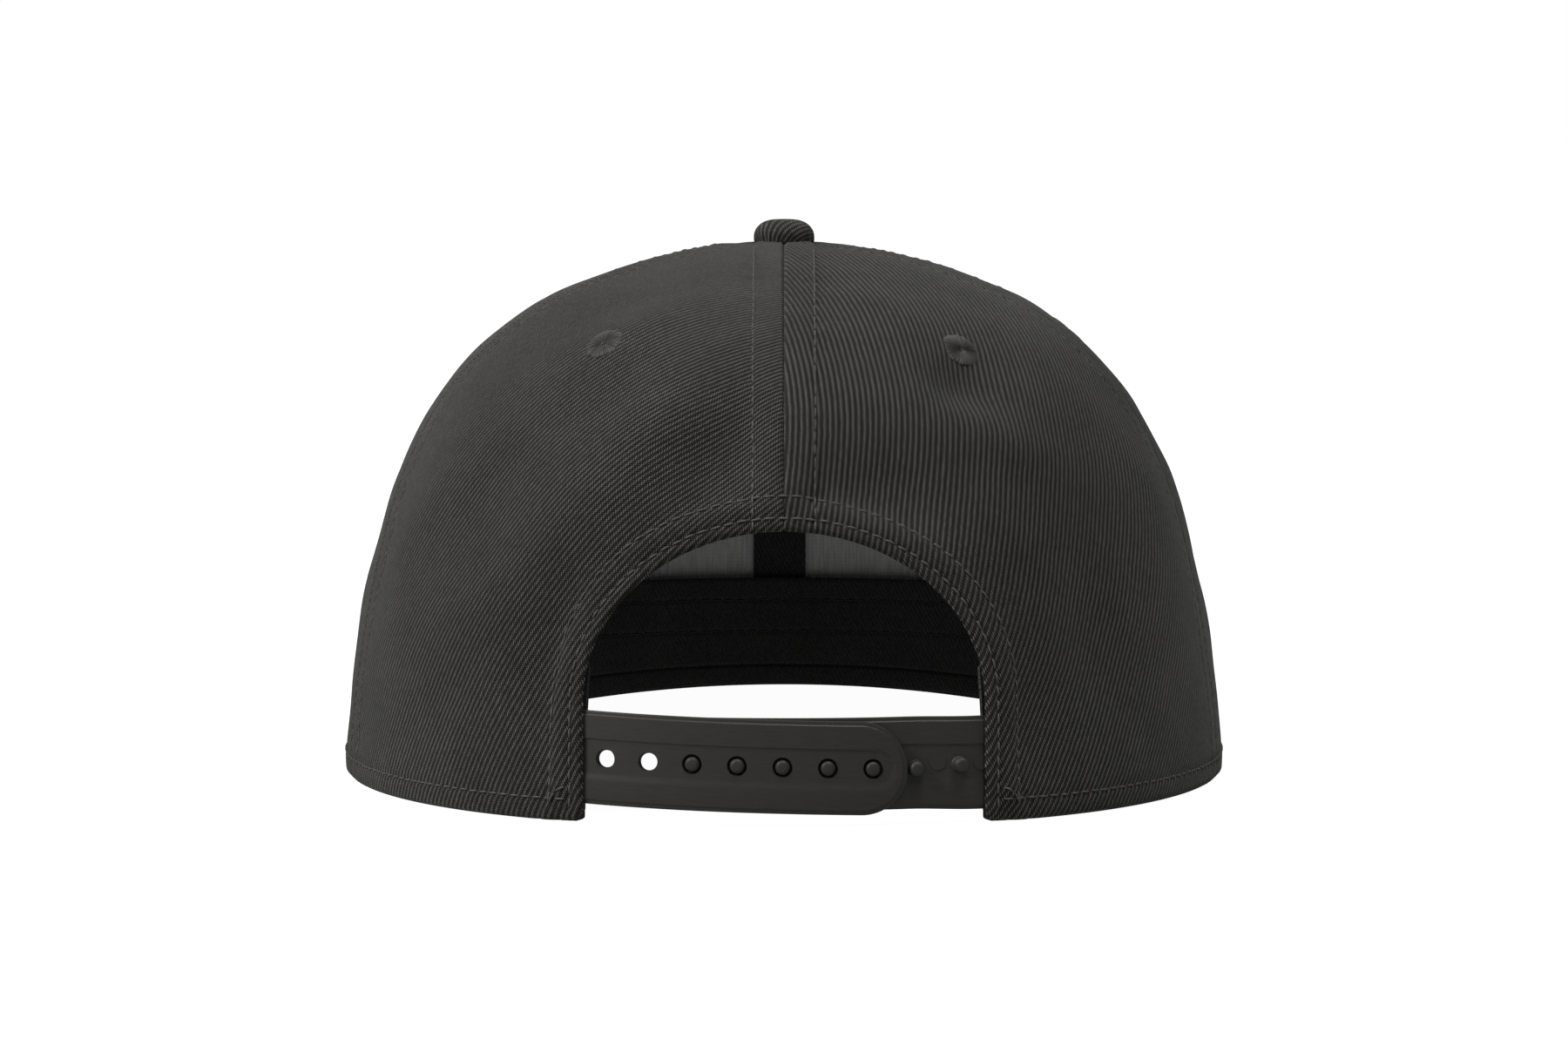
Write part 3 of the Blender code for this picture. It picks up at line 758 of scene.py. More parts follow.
def distance_to(points, line):
    """Distance from each point to the nearest point of a fine line."""
    tree = kdtree.KDTree(len(line))
    for index, point in enumerate(line):
        tree.insert(point, index)
    tree.balance()
    return np.array([tree.find(point)[2] for point in points])


def fine_line(turn, climb, step=0.33 * MM):
    """Points a small step apart along a line on the crown."""
    points = crown_point(turn, climb)
    lengths = line_length(points)
    return line_point(points, lengths, np.arange(0.0, lengths[-1], step))


def cloth_relief(points, flat, seams, arch, seed):
    """Relief of the outside, and the slow part of it, which the inside shares."""
    hem = points[:, 2] - hem_height(np.arctan2(points[:, 0], AXIS_Y - points[:, 1]))
    relief = rolled(hem) + row_dip(hem, HEM_ROW)
    body = smooth_step(2 * MM, 12 * MM, hem)
    raised = ridge(hem, HEM_ROW, 0.25 * MM)
    from_arch = distance_to(points, arch) if arch is not None else np.full(len(points), 1.0)
    for number, (seam, groove) in enumerate(seams):
        away = distance_to(points, seam)
        relief += seam_relief(away, groove) * smooth_step(0.2 * MM, 2.5 * MM, from_arch)
        raised = np.maximum(raised, ridge(away, TWIN_ROW, 0.75 * groove))
        body = np.minimum(body, smooth_step(0.5 * MM, 9 * MM, away))
        pucker = np.sin(flat[:, 1] / (1.05 * MM) + 2.0 * np.sin(flat[:, 1] / (7 * MM) + number))
        relief += PUCKER_RISE * pucker * bell(away - TWIN_ROW, PUCKER_WIDTH)
    if arch is not None:
        away = from_arch
        relief += rolled(away) + row_dip(away, ARCH_ROWS[0]) + row_dip(away, ARCH_ROWS[1])
        relief -= ARCH_LEAN * (1 - smooth_step(0.0, 6.5 * MM, away))
        raised = np.maximum(raised, ridge(away, ARCH_ROWS[1], 0.36 * MM))
        body = np.minimum(body, smooth_step(1 * MM, 10 * MM, away))
    uneven = gentle_wave(flat, seed)
    if arch is not None:
        uneven += dent_relief(points)
    return relief + raised + body * uneven, body * uneven


# %% [markdown]
# ## Crown panels
# A panel is a gore: widest at the hem, with curved sides that meet its neighbours. The grid's
# columns run between its two edges and its rows from hem to button, closer together near the
# edges, where the relief is fine. The rear panels start at the arch instead of a seam, so
# their inner edge follows the arch first and then the rear seam. A Solidify modifier gives
# the cloth its second side, which is then laid under the first without the fine relief.
# The grids are placed by the crown's own functions, because no primitive or bend has this
# shape, and every stitch, eyelet and lining has to find the cloth where the solids are.

# %% Panels
PANEL_THICKNESS = 1.3 * MM
SEAM_GAP = -0.02 * MM  # the cloth of one panel presses on the other
PANEL_TOP = climb_at_radius(CROWN_HOLE)
PANEL_SPANS = {
    # first seam, last seam, columns, rows
    "rear": (REAR_SEAM, SIDE_SEAM, 84, 200),
    "side": (SIDE_SEAM, TEMPLE_SEAM, 64, 170),
    "front": (TEMPLE_SEAM, FRONT_SEAM, 64, 170),
}


def crowd_ends(t, amount=0.62):
    """Spaces steps from 0 to 1 closer together at both ends."""
    return t - amount * np.sin(2 * math.pi * t) / (2 * math.pi)


def seam_turn(turn, climb, inward):
    return turn + inward * SEAM_GAP / 2 / from_axis(crown_point(turn, climb))


def inner_edge(kind, t):
    """Turn and climb along a panel's low-turn edge, from hem to top."""
    if kind != "rear":
        climb = PANEL_TOP * t
        return seam_turn(PANEL_SPANS[kind][0], climb, 1), climb
    seam_climb = np.linspace(arch_climb[-1], PANEL_TOP, 160)[1:]
    turn = np.concatenate([arch_turn, np.zeros(len(seam_climb))])
    climb = np.concatenate([arch_climb, seam_climb])
    lengths = line_length(crown_point(turn, climb))
    where = t * lengths[-1]
    turn, climb = np.interp(where, lengths, turn), np.interp(where, lengths, climb)
    return np.maximum(turn, seam_turn(0.0, climb, 1)), climb


def panel_places(kind, sign):
    """The panel's grid, and the turn and climb of its vertices."""
    _, high, columns, rows = PANEL_SPANS[kind]
    piece, across, up = add_grid(f"panel_{kind}", columns, rows)
    if sign < 0:
        across = 1 - across
    across = crowd_ends(across)
    up = up - 0.05 * np.sin(math.pi * up) * (1 - up)
    low_turn, low_climb = inner_edge(kind, up)
    high_climb = PANEL_TOP * up
    high_turn = seam_turn(high, high_climb, -1)
    turn = low_turn + (high_turn - low_turn) * across
    climb = low_climb + (high_climb - low_climb) * across
    return piece, sign * turn, climb


def make_panel(kind, side, sign, seed):
    low, high = PANEL_SPANS[kind][:2]
    piece, turn, climb = panel_places(kind, sign)
    piece.name = f"cloth_panel_{kind}_{side}"
    flat = flat_place(sign * (low + high) / 2, turn, climb)
    start = arch_climb[-1] if kind == "rear" else 0.0
    low_groove = REAR_GROOVE if kind == "rear" else SIDE_GROOVE
    high_groove = REAR_GROOVE if kind == "front" else SIDE_GROOVE
    seams = [
        (fine_line(sign * low, np.linspace(start, PANEL_TOP, 300)), low_groove),
        (fine_line(sign * high, np.linspace(0.0, PANEL_TOP, 300)), high_groove),
    ]
    arch = fine_line(sign * arch_turn, arch_climb, 0.04 * MM) if kind == "rear" else None
    outside, slow = cloth_relief(crown_point(turn, climb), flat, seams, arch, seed)
    write_points(piece, on_crown(turn, climb, outside))
    write_flat(piece, flat)
    apply_modifier(piece, "SOLIDIFY", thickness=PANEL_THICKNESS, offset=-1.0)
    points = read_points(piece)
    points[len(turn) :] = on_crown(turn, climb, slow - PANEL_THICKNESS)
    write_points(piece, points)
    shade_round(piece, 60)
    fit_piece(piece, charcoal_twill, "twill", f"panel_{kind}_{side}")


for seed, kind in enumerate(("rear", "side", "front")):
    make_panel(kind, "left", -1, 2 * seed)
    make_panel(kind, "right", 1, 2 * seed + 1)

# %% [markdown]
# ## The cloth's own surface
# Stitches have to lie on the relief and not on the smooth crown. All panels go into one search
# tree, and a ray sent in from outside finds the cloth.

# %% The cloth's own surface
def cloth_tree():
    """All panels as one search tree, so that stitches find the real cloth."""
    points, faces = [], []
    for piece in bpy.data.objects:
        if piece.name.startswith("cloth_panel_"):
            start = len(points)
            points += [vertex.co[:] for vertex in piece.data.vertices]
            faces += [[start + v for v in face.vertices] for face in piece.data.polygons]
    return BVHTree.FromPolygons(points, faces)


CLOTH = cloth_tree()
REACH = 6.0 * MM


def on_cloth(turn, climb):
    """Points on the panels, found from outside along the crown's normal."""
    starts, normals = on_crown(turn, climb, np.full(len(turn), REACH)), crown_normal(turn, climb)
    found = []
    for start, normal in zip(starts, normals):
        hit = CLOTH.ray_cast(Vector(start), Vector(-normal), 2 * REACH)[0]
        found.append(hit if hit is not None else Vector(start - REACH * normal))
    return np.array(found), normals


# %% [markdown]
# ## Stitches
# A lockstitch shows as a row of short threads, each pulled into the cloth at its ends. One
# stitch is modelled: a slim six-sided bead. It is then laid along each row as many times as
# the row needs, bent to the cloth, higher in its middle than at its ends.

# %% One stitch
STITCH_PITCH = 2.75 * MM
STITCH_GAP = 0.18 * MM
THREAD_RADIUS = 0.25 * MM

bpy.ops.object.select_all(action="DESELECT")
bpy.ops.mesh.primitive_uv_sphere_add(segments=6, ring_count=7, radius=1.0)
bead = bpy.context.active_object
bead_points = read_points(bead)[:, [2, 0, 1]]
bead_faces = [tuple(face.vertices) for face in bead.data.polygons]
bpy.data.objects.remove(bead)


def stitch_line(line, normals, offset=0, pitch=STITCH_PITCH, radius=THREAD_RADIUS, lift=0.0):
    """Points and faces of a row of stitches along a line with surface normals."""
    lengths = line_length(line)
    count = int(lengths[-1] / pitch)
    pitch = lengths[-1] / max(count, 1)
    chance = np.random.default_rng(offset + count)
    starts = (np.arange(count) + 0.06) * pitch
    x, y, z = bead_points.T
    reach = (np.sign(x) * np.abs(x) ** 1.6 + 1) / 2
    width = radius * np.where(np.abs(x) > 0.98, 0.0, 1.0)
    where = starts[:, None] + reach[None, :] * (pitch - STITCH_GAP)
    centre = line_point(line, lengths, where)
    up = line_point(normals, lengths, where)
    up /= np.linalg.norm(up, axis=-1, keepdims=True)
    ahead = line_point(line, lengths, where + 0.1 * MM)
    behind = line_point(line, lengths, where - 0.1 * MM)
    side = np.cross(ahead - behind, up)
    side /= np.maximum(np.linalg.norm(side, axis=-1, keepdims=True), 1e-9)
    slack = chance.uniform(-0.06, 0.06, count)[:, None] * MM
    height = lift + radius * (0.7 - 2.0 * np.abs(2 * reach - 1) ** 4)[None, :]
    height = height + chance.uniform(-0.03, 0.03, count)[:, None] * MM
    points = (
        centre
        + side * (slack + y[None, :] * width[None, :])[..., None]
        + up * (height + z[None, :] * width[None, :])[..., None]
    )
    faces = [
        tuple(v + k * len(bead_points) for v in face)
        for k in range(count)
        for face in bead_faces
    ]
    return points.reshape(-1, 3), faces


def make_stitches(name, rows, material, slot):
    """Joins rows of stitches into one piece."""
    points, faces, start = [], [], 0
    for row_points, row_faces in rows:
        points.append(row_points)
        faces += [tuple(v + start for v in face) for face in row_faces]
        start += len(row_points)
    mesh = bpy.data.meshes.new(name)
    mesh.from_pydata(np.concatenate(points).tolist(), [], faces)
    mesh.shade_smooth()
    piece = bpy.data.objects.new(name, mesh)
    bpy.context.scene.collection.objects.link(piece)
    fit_piece(piece, material, slot)


def smooth_line(line, passes=2):
    """Evens out a line of points, with its ends kept."""
    for _ in range(passes):
        line[1:-1] = (line[:-2] + 2 * line[1:-1] + line[2:]) / 4
    return line


def crown_row(turn, climb, offset=0, lift=0.0):
    """A row of stitches along a line on the crown."""
    points = crown_point(turn, climb)
    lengths = line_length(points)
    even = np.linspace(0.0, lengths[-1], max(int(lengths[-1] / (0.5 * MM)), 2))
    turn = np.interp(even, lengths, np.broadcast_to(turn, len(points)))
    climb = np.interp(even, lengths, np.broadcast_to(climb, len(points)))
    line, normals = on_cloth(turn, climb)
    return stitch_line(smooth_line(line), normals, offset, lift=lift)


# %% [markdown]
# ## Stitches on the crown
# Twin rows run beside every seam, two rows follow the arch, and one follows the hem. All are
# the same bead, laid along different lines.

# %% Stitches on the crown
SIDE_ROW_LIFT = -0.16 * MM  # these rows are sunk deeper than the others


def seam_row(seam, side, low):
    """One of a seam's twin rows, up to where it meets its neighbour's near the button."""
    top = climb_at_radius(TWIN_ROW / math.sin((FRONT_SEAM - TEMPLE_SEAM) / 2))
    climb = np.linspace(low, top, 300)
    return seam + side * np.arcsin(TWIN_ROW / from_axis(crown_point(seam, climb))), climb


rows = []
for side in (-1, 1):
    row_foot = float(crown_place(TWIN_ROW, ARCH_TOP - 0.3 * MM)[1])
    rows.append(crown_row(*seam_row(REAR_SEAM, side, row_foot), offset=side + 1))
    rows.append(crown_row(*seam_row(FRONT_SEAM, side, 0.0), offset=side + 3))
    for seam in (SIDE_SEAM, TEMPLE_SEAM):
        rows.append(crown_row(*seam_row(seam, side, 0.0), side + 5, lift=SIDE_ROW_LIFT))
        rows.append(crown_row(*seam_row(-seam, side, 0.0), side + 7, lift=SIDE_ROW_LIFT))
make_stitches("stitches_seams", rows, sewing_thread, "thread")

rows = []
for distance in ARCH_ROWS:
    turn, climb = beside_arch(distance)
    turn = np.concatenate([turn, -turn[::-1]])
    climb = np.concatenate([climb, climb[::-1]])
    rows.append(crown_row(turn, climb, offset=11))
hem_corner = float(beside_arch(ARCH_ROWS[1])[0][0])
turn = wrap_turn(np.linspace(hem_corner, 2 * math.pi - hem_corner, 900))
for part in (turn[: len(turn) // 2], turn[len(turn) // 2 :]):
    rows.append(crown_row(part, climb_at_height(part, hem_height(part) + HEM_ROW), offset=17))
make_stitches("stitches_arch_and_hem", rows, sewing_thread, "thread")

# %% [markdown]
# ## Eyelets
# Each eyelet is a small air hole, stitched round with satin thread. The threads lie like the
# spokes of a wheel, from the tiny hole out to the rim. A torus is flattened to the eyelet's
# section, and its surface is raised over each spoke.

# %% Eyelets
EYELET_SPOKES = 46
EYELET_RADIUS = 4.0 * MM
EYELET_BORE = 0.55 * MM
EYELET_CLIMB = 0.60
EYELET_PANELS = {
    # part of the way from seam to seam, rise above the cloth
    "rear": (0.44, 0.55 * MM),
    "side": (0.5, 0.3 * MM),
    "front": (0.5, 0.3 * MM),
}


def cloth_facing(turn, climb, radius):
    """Middle and normal of the patch of cloth round a place."""
    spread = radius / from_axis(crown_point(turn, climb))
    angles = np.linspace(0, 2 * math.pi, 12, endpoint=False)
    ring, _ = on_cloth(
        turn + spread * np.cos(angles), climb + radius / (1.3 * CROWN_HEIGHT) * np.sin(angles)
    )
    middle = ring.mean(axis=0)
    normal = np.linalg.svd(ring - middle)[2][2]
    return middle, normal * np.sign(normal @ crown_normal(turn, climb))


def make_eyelet(kind, side, turn, rise):
    middle, half = (EYELET_RADIUS + EYELET_BORE) / 2, (EYELET_RADIUS - EYELET_BORE) / 2
    bpy.ops.object.select_all(action="DESELECT")
    bpy.ops.mesh.primitive_torus_add(
        major_segments=EYELET_SPOKES * 6, minor_segments=14,
        major_radius=middle, minor_radius=half,
    )
    piece = bpy.context.active_object
    piece.name = f"eyelet_thread_{kind}_{side}"
    angle, radius, level = polar(piece)
    chance = np.random.default_rng(int(1000 * abs(turn)))
    uneven = 1 + 0.02 * np.sin(5 * angle + chance.uniform(0, 6)) + 0.015 * np.sin(9 * angle)
    spoke = np.abs(np.sin(angle * EYELET_SPOKES / 2))
    number = np.floor((angle / (2 * math.pi) + 0.5) * EYELET_SPOKES).astype(int) % EYELET_SPOKES
    ragged = chance.uniform(-0.05, 0.09, EYELET_SPOKES)[number]
    taller = chance.uniform(0.8, 1.15, EYELET_SPOKES)[number]
    swell = np.where(level > 0, (0.3 + 0.7 * spoke) * taller, 1.0)
    outer = smooth_step(middle, EYELET_RADIUS, radius)
    rim = 1 + (ragged * spoke + 0.03 * (spoke - 0.5)) * outer
    reach = radius * uneven * rim
    out = np.stack(
        [reach * np.cos(angle), reach * np.sin(angle), level / half * rise * swell], axis=1
    )
    centre, normal = cloth_facing(turn, EYELET_CLIMB, 0.7 * EYELET_RADIUS)
    facing = np.array(Vector(normal).to_track_quat("Z", "Y").to_matrix())
    write_points(piece, centre + out @ facing.T)
    threads = angle / (2 * math.pi) * EYELET_SPOKES
    write_flat(piece, np.stack([threads, radius], axis=1) * MM)
    shade_round(piece, 70)
    fit_piece(piece, embroidery_thread, "thread", f"eyelet_{kind}_{side}")


for kind, (part_way, rise) in EYELET_PANELS.items():
    low, high = PANEL_SPANS[kind][:2]
    eyelet_turn = low + (high - low) * part_way
    make_eyelet(kind, "left", -eyelet_turn, rise)
    make_eyelet(kind, "right", eyelet_turn, rise)

# %% [markdown]
# ## Button
# The button is a domed metal blank covered with a disc of the crown's twill, whose edge is
# gathered and tucked underneath. So the dome is smooth on top, and small folds show round its
# foot. It starts as a sphere, squashed to a dome with a flat foot.

# %% Button
BUTTON_RADIUS = 6.75 * MM
BUTTON_HEIGHT = 4.6 * MM
BUTTON_SEAT = CROWN_HEIGHT + 0.1 * MM
BUTTON_FOLDS = 0.16 * MM
BUTTON_TUCK = 0.35 * MM


def make_button():
    bpy.ops.object.select_all(action="DESELECT")
    bpy.ops.mesh.primitive_uv_sphere_add(segments=96, ring_count=48, radius=1.0)
    piece = bpy.context.active_object
    piece.name = "button_cover"
    angle, spread, up = polar(piece)
    radius = BUTTON_RADIUS * np.where(up > 0, spread**0.62, spread**0.45)
    height = np.where(up > 0, BUTTON_HEIGHT * up, -0.9 * MM * np.abs(up))
    foot = bell(height, 1.3 * MM) * smooth_step(0.5, 1.0, spread)
    folds = BUTTON_FOLDS * np.sin(17 * angle + 1.5 * np.sin(3 * angle)) * foot
    radius = radius + folds - BUTTON_TUCK * foot
    place = np.stack([
        radius * np.cos(angle), AXIS_Y + radius * np.sin(angle), BUTTON_SEAT + height,
    ], axis=1)
    write_points(piece, place)
    bow = np.arccos(np.clip(up, -1, 1)) * (BUTTON_RADIUS + BUTTON_HEIGHT) / 2
    write_flat(piece, np.stack([bow * np.cos(angle), bow * np.sin(angle)], axis=1))
    shade_round(piece, 60)
    fit_piece(piece, charcoal_twill, "twill", "button")


make_button()

# %% [markdown]
# ## Snap strap
# Each half is a moulded band. Its face stands a little above a thin lip that runs round the
# edge, and a shallow track is sunk round the row of snaps. The outer half has round holes,
# the inner one pegs. Both are modelled flat, where a hole is a plain cylinder cut, and then
# bent round the crown, as the real strap is.

# %% Strap measures
STRAP_WIDTH = 19.0 * MM
STRAP_WALL = 1.3 * MM
STRAP_HEIGHT = 12.0 * MM
STRAP_STEP = 0.4 * MM  # how much higher the inner half lies
STRAP_SLANT = 0.026  # fall of the outer half towards its tip
STRAP_TUCK = 14.0 * MM
STRAP_INSET = 1.7 * MM
SNAP_PITCH = 9.1 * MM
SNAP_COUNT = 7
SNAP_SHIFT = -0.3 * MM
SNAPS_PAST_MIDDLE = 2
STRAP_TIP = 6.8 * MM
STRAP_REACH = SNAPS_PAST_MIDDLE * SNAP_PITCH + STRAP_TIP
PEG_RADIUS = 1.55 * MM
HOLE_RADIUS = 2.1 * MM
BEHIND = STRAP_WALL + 0.3 * MM
LIP_WIDTH = 0.95 * MM
LIP_DROP = 0.22 * MM
LIP_EASE = 0.12 * MM
EDGE_ROUNDING = 0.35 * MM
EDGE_DROP = 0.25 * MM
TRACK_RADIUS = 3.7 * MM
TRACK_DEPTH = 0.2 * MM
TRACK_PAST_SNAP = 0.4 * MM

strap_turns = np.linspace(0.0, math.pi / 2, 361)
strap_climb = climb_at_height(0.0, STRAP_HEIGHT)
strap_arcs = line_length(on_crown(strap_turns, strap_climb, -STRAP_INSET))
CORNER_ARC = float(
    np.interp(crown_place(ARCH_HALF_WIDTH, STRAP_HEIGHT)[0], strap_turns, strap_arcs)
)
print("arch corner along the strap, mm:", round(CORNER_ARC / MM, 1))


def bend_strap(arc, height, out):
    """Places points of a flat strap on the crown's rear."""
    turn = np.sign(arc) * np.interp(np.abs(arc), strap_arcs, strap_turns)
    return on_crown(turn, climb_at_height(turn, height), out - STRAP_INSET)


def bend_outer(arc, height, out):
    return bend_strap(arc, height - STRAP_SLANT * arc, out)


def behind_share(arc):
    """1 where the inner half lies behind the outer one, easing to 0 at its own panel."""
    return 1 - smooth_step(STRAP_REACH + 0.3 * MM, CORNER_ARC, arc)


def bend_inner(arc, height, out):
    behind = behind_share(arc)
    return bend_strap(arc, height + behind * STRAP_STEP, out - behind * BEHIND)


# %% [markdown]
# ## Strap blanks
# Both halves come from nearly the same mould. A flat grid is narrowed to a round tip, its
# face is raised and sunk by the strap's relief, and Solidify gives it a wall.

# %% Strap blanks
def strap_relief(arc, height):
    """Height of the moulded face: its lip, and the track round the snaps."""
    radius = STRAP_WIDTH / 2
    beyond = np.maximum(arc - (STRAP_REACH - radius), 0.0)
    edge = radius - np.hypot(beyond, height)
    lip = -LIP_DROP * (1 - smooth_step(LIP_WIDTH - LIP_EASE, LIP_WIDTH + LIP_EASE, edge))
    rounding = np.clip(edge / EDGE_ROUNDING, 0.0, 1.0)
    lip -= EDGE_DROP * (1 - np.sqrt(1 - (1 - rounding) ** 2))
    track_end = SNAPS_PAST_MIDDLE * SNAP_PITCH + TRACK_PAST_SNAP
    from_row = np.hypot(np.maximum(arc - track_end, 0.0), height)
    soft = np.where(height > 0, 0.08 * MM, 0.9 * MM)  # the mould's lower edge is worn
    track = -TRACK_DEPTH * (1 - smooth_step(TRACK_RADIUS - soft, TRACK_RADIUS + soft, from_row))
    return lip + track


def strap_blank(name, sign):
    """A flat strap with its round tip on the side of sign, its face towards +Z."""
    piece, across, up = add_grid(name, 340, 76)
    radius = STRAP_WIDTH / 2
    start = CORNER_ARC + STRAP_TUCK
    arc = -start + (STRAP_REACH + start) * (1 - (1 - across) ** 1.25)
    beyond = np.maximum(arc - (STRAP_REACH - radius), 0.0)
    half = np.sqrt(np.maximum(radius**2 - beyond**2, (0.02 * MM) ** 2))
    height = half * (2 * crowd_ends(up, 0.5) - 1)
    points = np.stack([sign * arc, height, strap_relief(arc, height)], axis=1)
    write_points(piece, points)
    write_flat(piece, points[:, :2])
    if sign < 0:
        piece.data.flip_normals()
    return piece


def thicken_strap(piece):
    """Adds the flat back of the strap and closes its edge."""
    count = len(piece.data.vertices)
    apply_modifier(piece, "SOLIDIFY", thickness=STRAP_WALL, offset=-1.0)
    points = read_points(piece)
    points[count:, 2] = -STRAP_WALL
    write_points(piece, points)


def snap_places(sign):
    first = SNAPS_PAST_MIDDLE - SNAP_COUNT + 1
    return [sign * SNAP_PITCH * (first + k) + SNAP_SHIFT for k in range(SNAP_COUNT)]


def join_pieces(pieces):
    """Joins pieces into the first of them."""
    select_only(*pieces)
    bpy.ops.object.join()
    return pieces[0]


def bend_piece(piece, bend):
    x, y, z = read_points(piece).T
    write_points(piece, bend(x, y + STRAP_HEIGHT, z))


# %% [markdown]
# ## Outer half, with holes
# The holes are cut while the strap is flat, all by one Boolean. Cones cut them, because the
# pins of a mould taper, and the narrower back edge shows inside each hole.

# %% Outer half, with holes
HOLE_BACK_RADIUS = 1.72 * MM
DRILL_DEPTH = 6 * STRAP_WALL


def drill_holes(piece, places):
    """Cuts the holes, which narrow towards the back as the mould's pins do."""
    drills = []
    taper = (HOLE_RADIUS - HOLE_BACK_RADIUS) / STRAP_WALL * DRILL_DEPTH / 2
    for place in places:
        bpy.ops.object.select_all(action="DESELECT")
        bpy.ops.mesh.primitive_cone_add(
            vertices=48, radius1=HOLE_RADIUS - taper, radius2=HOLE_RADIUS + taper,
            depth=DRILL_DEPTH, location=(place, 0, 0),
        )
        drills.append(bpy.context.active_object)
    drill = join_pieces(drills)
    apply_modifier(piece, "BOOLEAN", operation="DIFFERENCE", object=drill, solver="EXACT")
    bpy.data.objects.remove(drill)


outer_half = strap_blank("strap_left_outer_half", 1)
thicken_strap(outer_half)
drill_holes(outer_half, snap_places(1))
bend_piece(outer_half, bend_outer)
shade_round(outer_half, 30)
fit_piece(outer_half, strap_plastic, "strap", "strap_left_holes")

# %% [markdown]
# ## Inner half, with pegs
# A peg is a short shaft with a round head, which snaps behind the hole's rim. It starts as a
# sphere and is reshaped by its height. Under the slanting outer half each peg is set lower,
# so that it stands in the middle of its hole.

# %% Inner half, with pegs
PEG_HEIGHT = 1.85 * MM
PEG_FOOT = 0.35 * MM  # how far the foot's fillet spreads
PEG_FILLET = 0.25 * MM  # how high it runs up
MARK_RADIUS = 1.7 * MM
MARK_RISE = 0.15 * MM
MARK_LEVEL = 0.3 * MM


def add_pegs(piece, places):
    """Raises a peg at each place: a shaft with a round head and a filleted foot."""
    pieces = [piece]
    for place in places:
        bpy.ops.object.select_all(action="DESELECT")
        bpy.ops.mesh.primitive_uv_sphere_add(segments=32, ring_count=24, radius=1.0)
        peg = bpy.context.active_object
        angle, spread, up = polar(peg)
        height = (up + 1) / 2 * (PEG_HEIGHT + STRAP_WALL / 2) - STRAP_WALL / 2
        radius = PEG_RADIUS * np.minimum(spread, 1.0) ** 0.42
        foot = np.exp(-np.maximum(height, 0.0) / PEG_FILLET) * PEG_FOOT
        radius = np.where(up < 0.9, radius + foot * smooth_step(0.2, 0.6, spread), radius)
        level = -behind_share(place) * (STRAP_STEP + STRAP_SLANT * place)
        write_points(peg, np.stack([
            place + radius * np.cos(angle), level + radius * np.sin(angle), height,
        ], axis=1))
        pieces.append(peg)
    join_pieces(pieces)


def add_marks(piece, places):
    """Adds the low round marks that the mould leaves between the pegs."""
    pieces = [piece]
    for place in places:
        bpy.ops.object.select_all(action="DESELECT")
        bpy.ops.mesh.primitive_cylinder_add(
            vertices=40, radius=MARK_RADIUS, depth=STRAP_WALL,
            location=(place, MARK_LEVEL, MARK_RISE - TRACK_DEPTH - STRAP_WALL / 2),
        )
        bpy.ops.object.transform_apply(location=True)
        pieces.append(bpy.context.active_object)
    join_pieces(pieces)


inner_half = strap_blank("strap_right_inner_half", -1)
thicken_strap(inner_half)
peg_places = snap_places(-1)
add_pegs(inner_half, peg_places)
add_marks(inner_half, [place + SNAP_PITCH / 2 for place in peg_places])
bend_piece(inner_half, bend_inner)
shade_round(inner_half, 30)
fit_piece(inner_half, strap_plastic, "strap", "strap_right_pegs")

# %% [markdown]
# ## Linings
# Behind the front panels lies buckram, which holds the front up. A black tape covers each
# seam, and the sweatband runs round inside the hem: a folded strip, sewn on with two rows of
# stitches, with a groove where it turns out to meet the panels.

# %% Buckram and tapes
LAYER_GAP = 0.5 * MM
CLOTH_WALL = 1.2 * MM
BUCKRAM_WALL = 0.8 * MM
BUCKRAM_SHEET = 0.64 * MM  # the sheets seen are thinner than the room that they have
TAPE_WALL = 0.8 * MM
TAPE_SHEET = 0.48 * MM
TAPE_WIDTH = 12.0 * MM
LINING_BASE = 1.8 * MM
BUCKRAM_TOP = 0.82
TAPE_TOP = climb_at_radius(TAPE_WIDTH / 2 / math.tan((FRONT_SEAM - TEMPLE_SEAM) / 2) + LAYER_GAP)


def inside_crown(turn, climb, inset):
    return on_crown(turn, climb, np.full(len(climb), -inset))


def lining_sheet(piece, turn, climb, middle, inset, wall):
    """Lays a grid inside the crown, its grain along the turn middle, and thickens it."""
    write_points(piece, inside_crown(turn, climb, inset))
    write_flat(piece, flat_place(middle, turn, climb))
    apply_modifier(piece, "SOLIDIFY", thickness=wall, offset=-1.0)
    shade_round(piece, 40)


def make_buckram(side, sign):
    piece, across, up = add_grid(f"buckram_mesh_{side}", 30, 60)
    if sign < 0:
        across = 1 - across
    low = climb_at_height(math.pi, FRONT_LIFT + LINING_BASE)
    climb = low + (BUCKRAM_TOP - low) * up
    margin = (TAPE_WIDTH / 2 + LAYER_GAP) / from_axis(crown_point(TEMPLE_SEAM, climb))
    first = TEMPLE_SEAM + margin
    turn = sign * (first + (FRONT_SEAM - 0.002 - first) * across)
    middle = sign * (TEMPLE_SEAM + FRONT_SEAM) / 2
    lining_sheet(piece, turn, climb, middle, CLOTH_WALL + LAYER_GAP, BUCKRAM_SHEET)
    fit_piece(piece, grey_buckram, "buckram", f"buckram_{side}")


def make_tape(name, seam, inset, low=None, width=TAPE_WIDTH):
    piece, across, up = add_grid(f"seam_tape_{name}", 10, 90)
    if low is None:
        low = climb_at_height(seam, hem_height(seam) + LINING_BASE)
    climb = low + (TAPE_TOP - low) * up
    half = width / 2 / from_axis(crown_point(seam, climb))
    turn = seam + half * (2 * across - 1)
    lining_sheet(piece, turn, climb, seam, inset, TAPE_SHEET)
    fit_piece(piece, black_tape, "lining", f"tape_{name}")


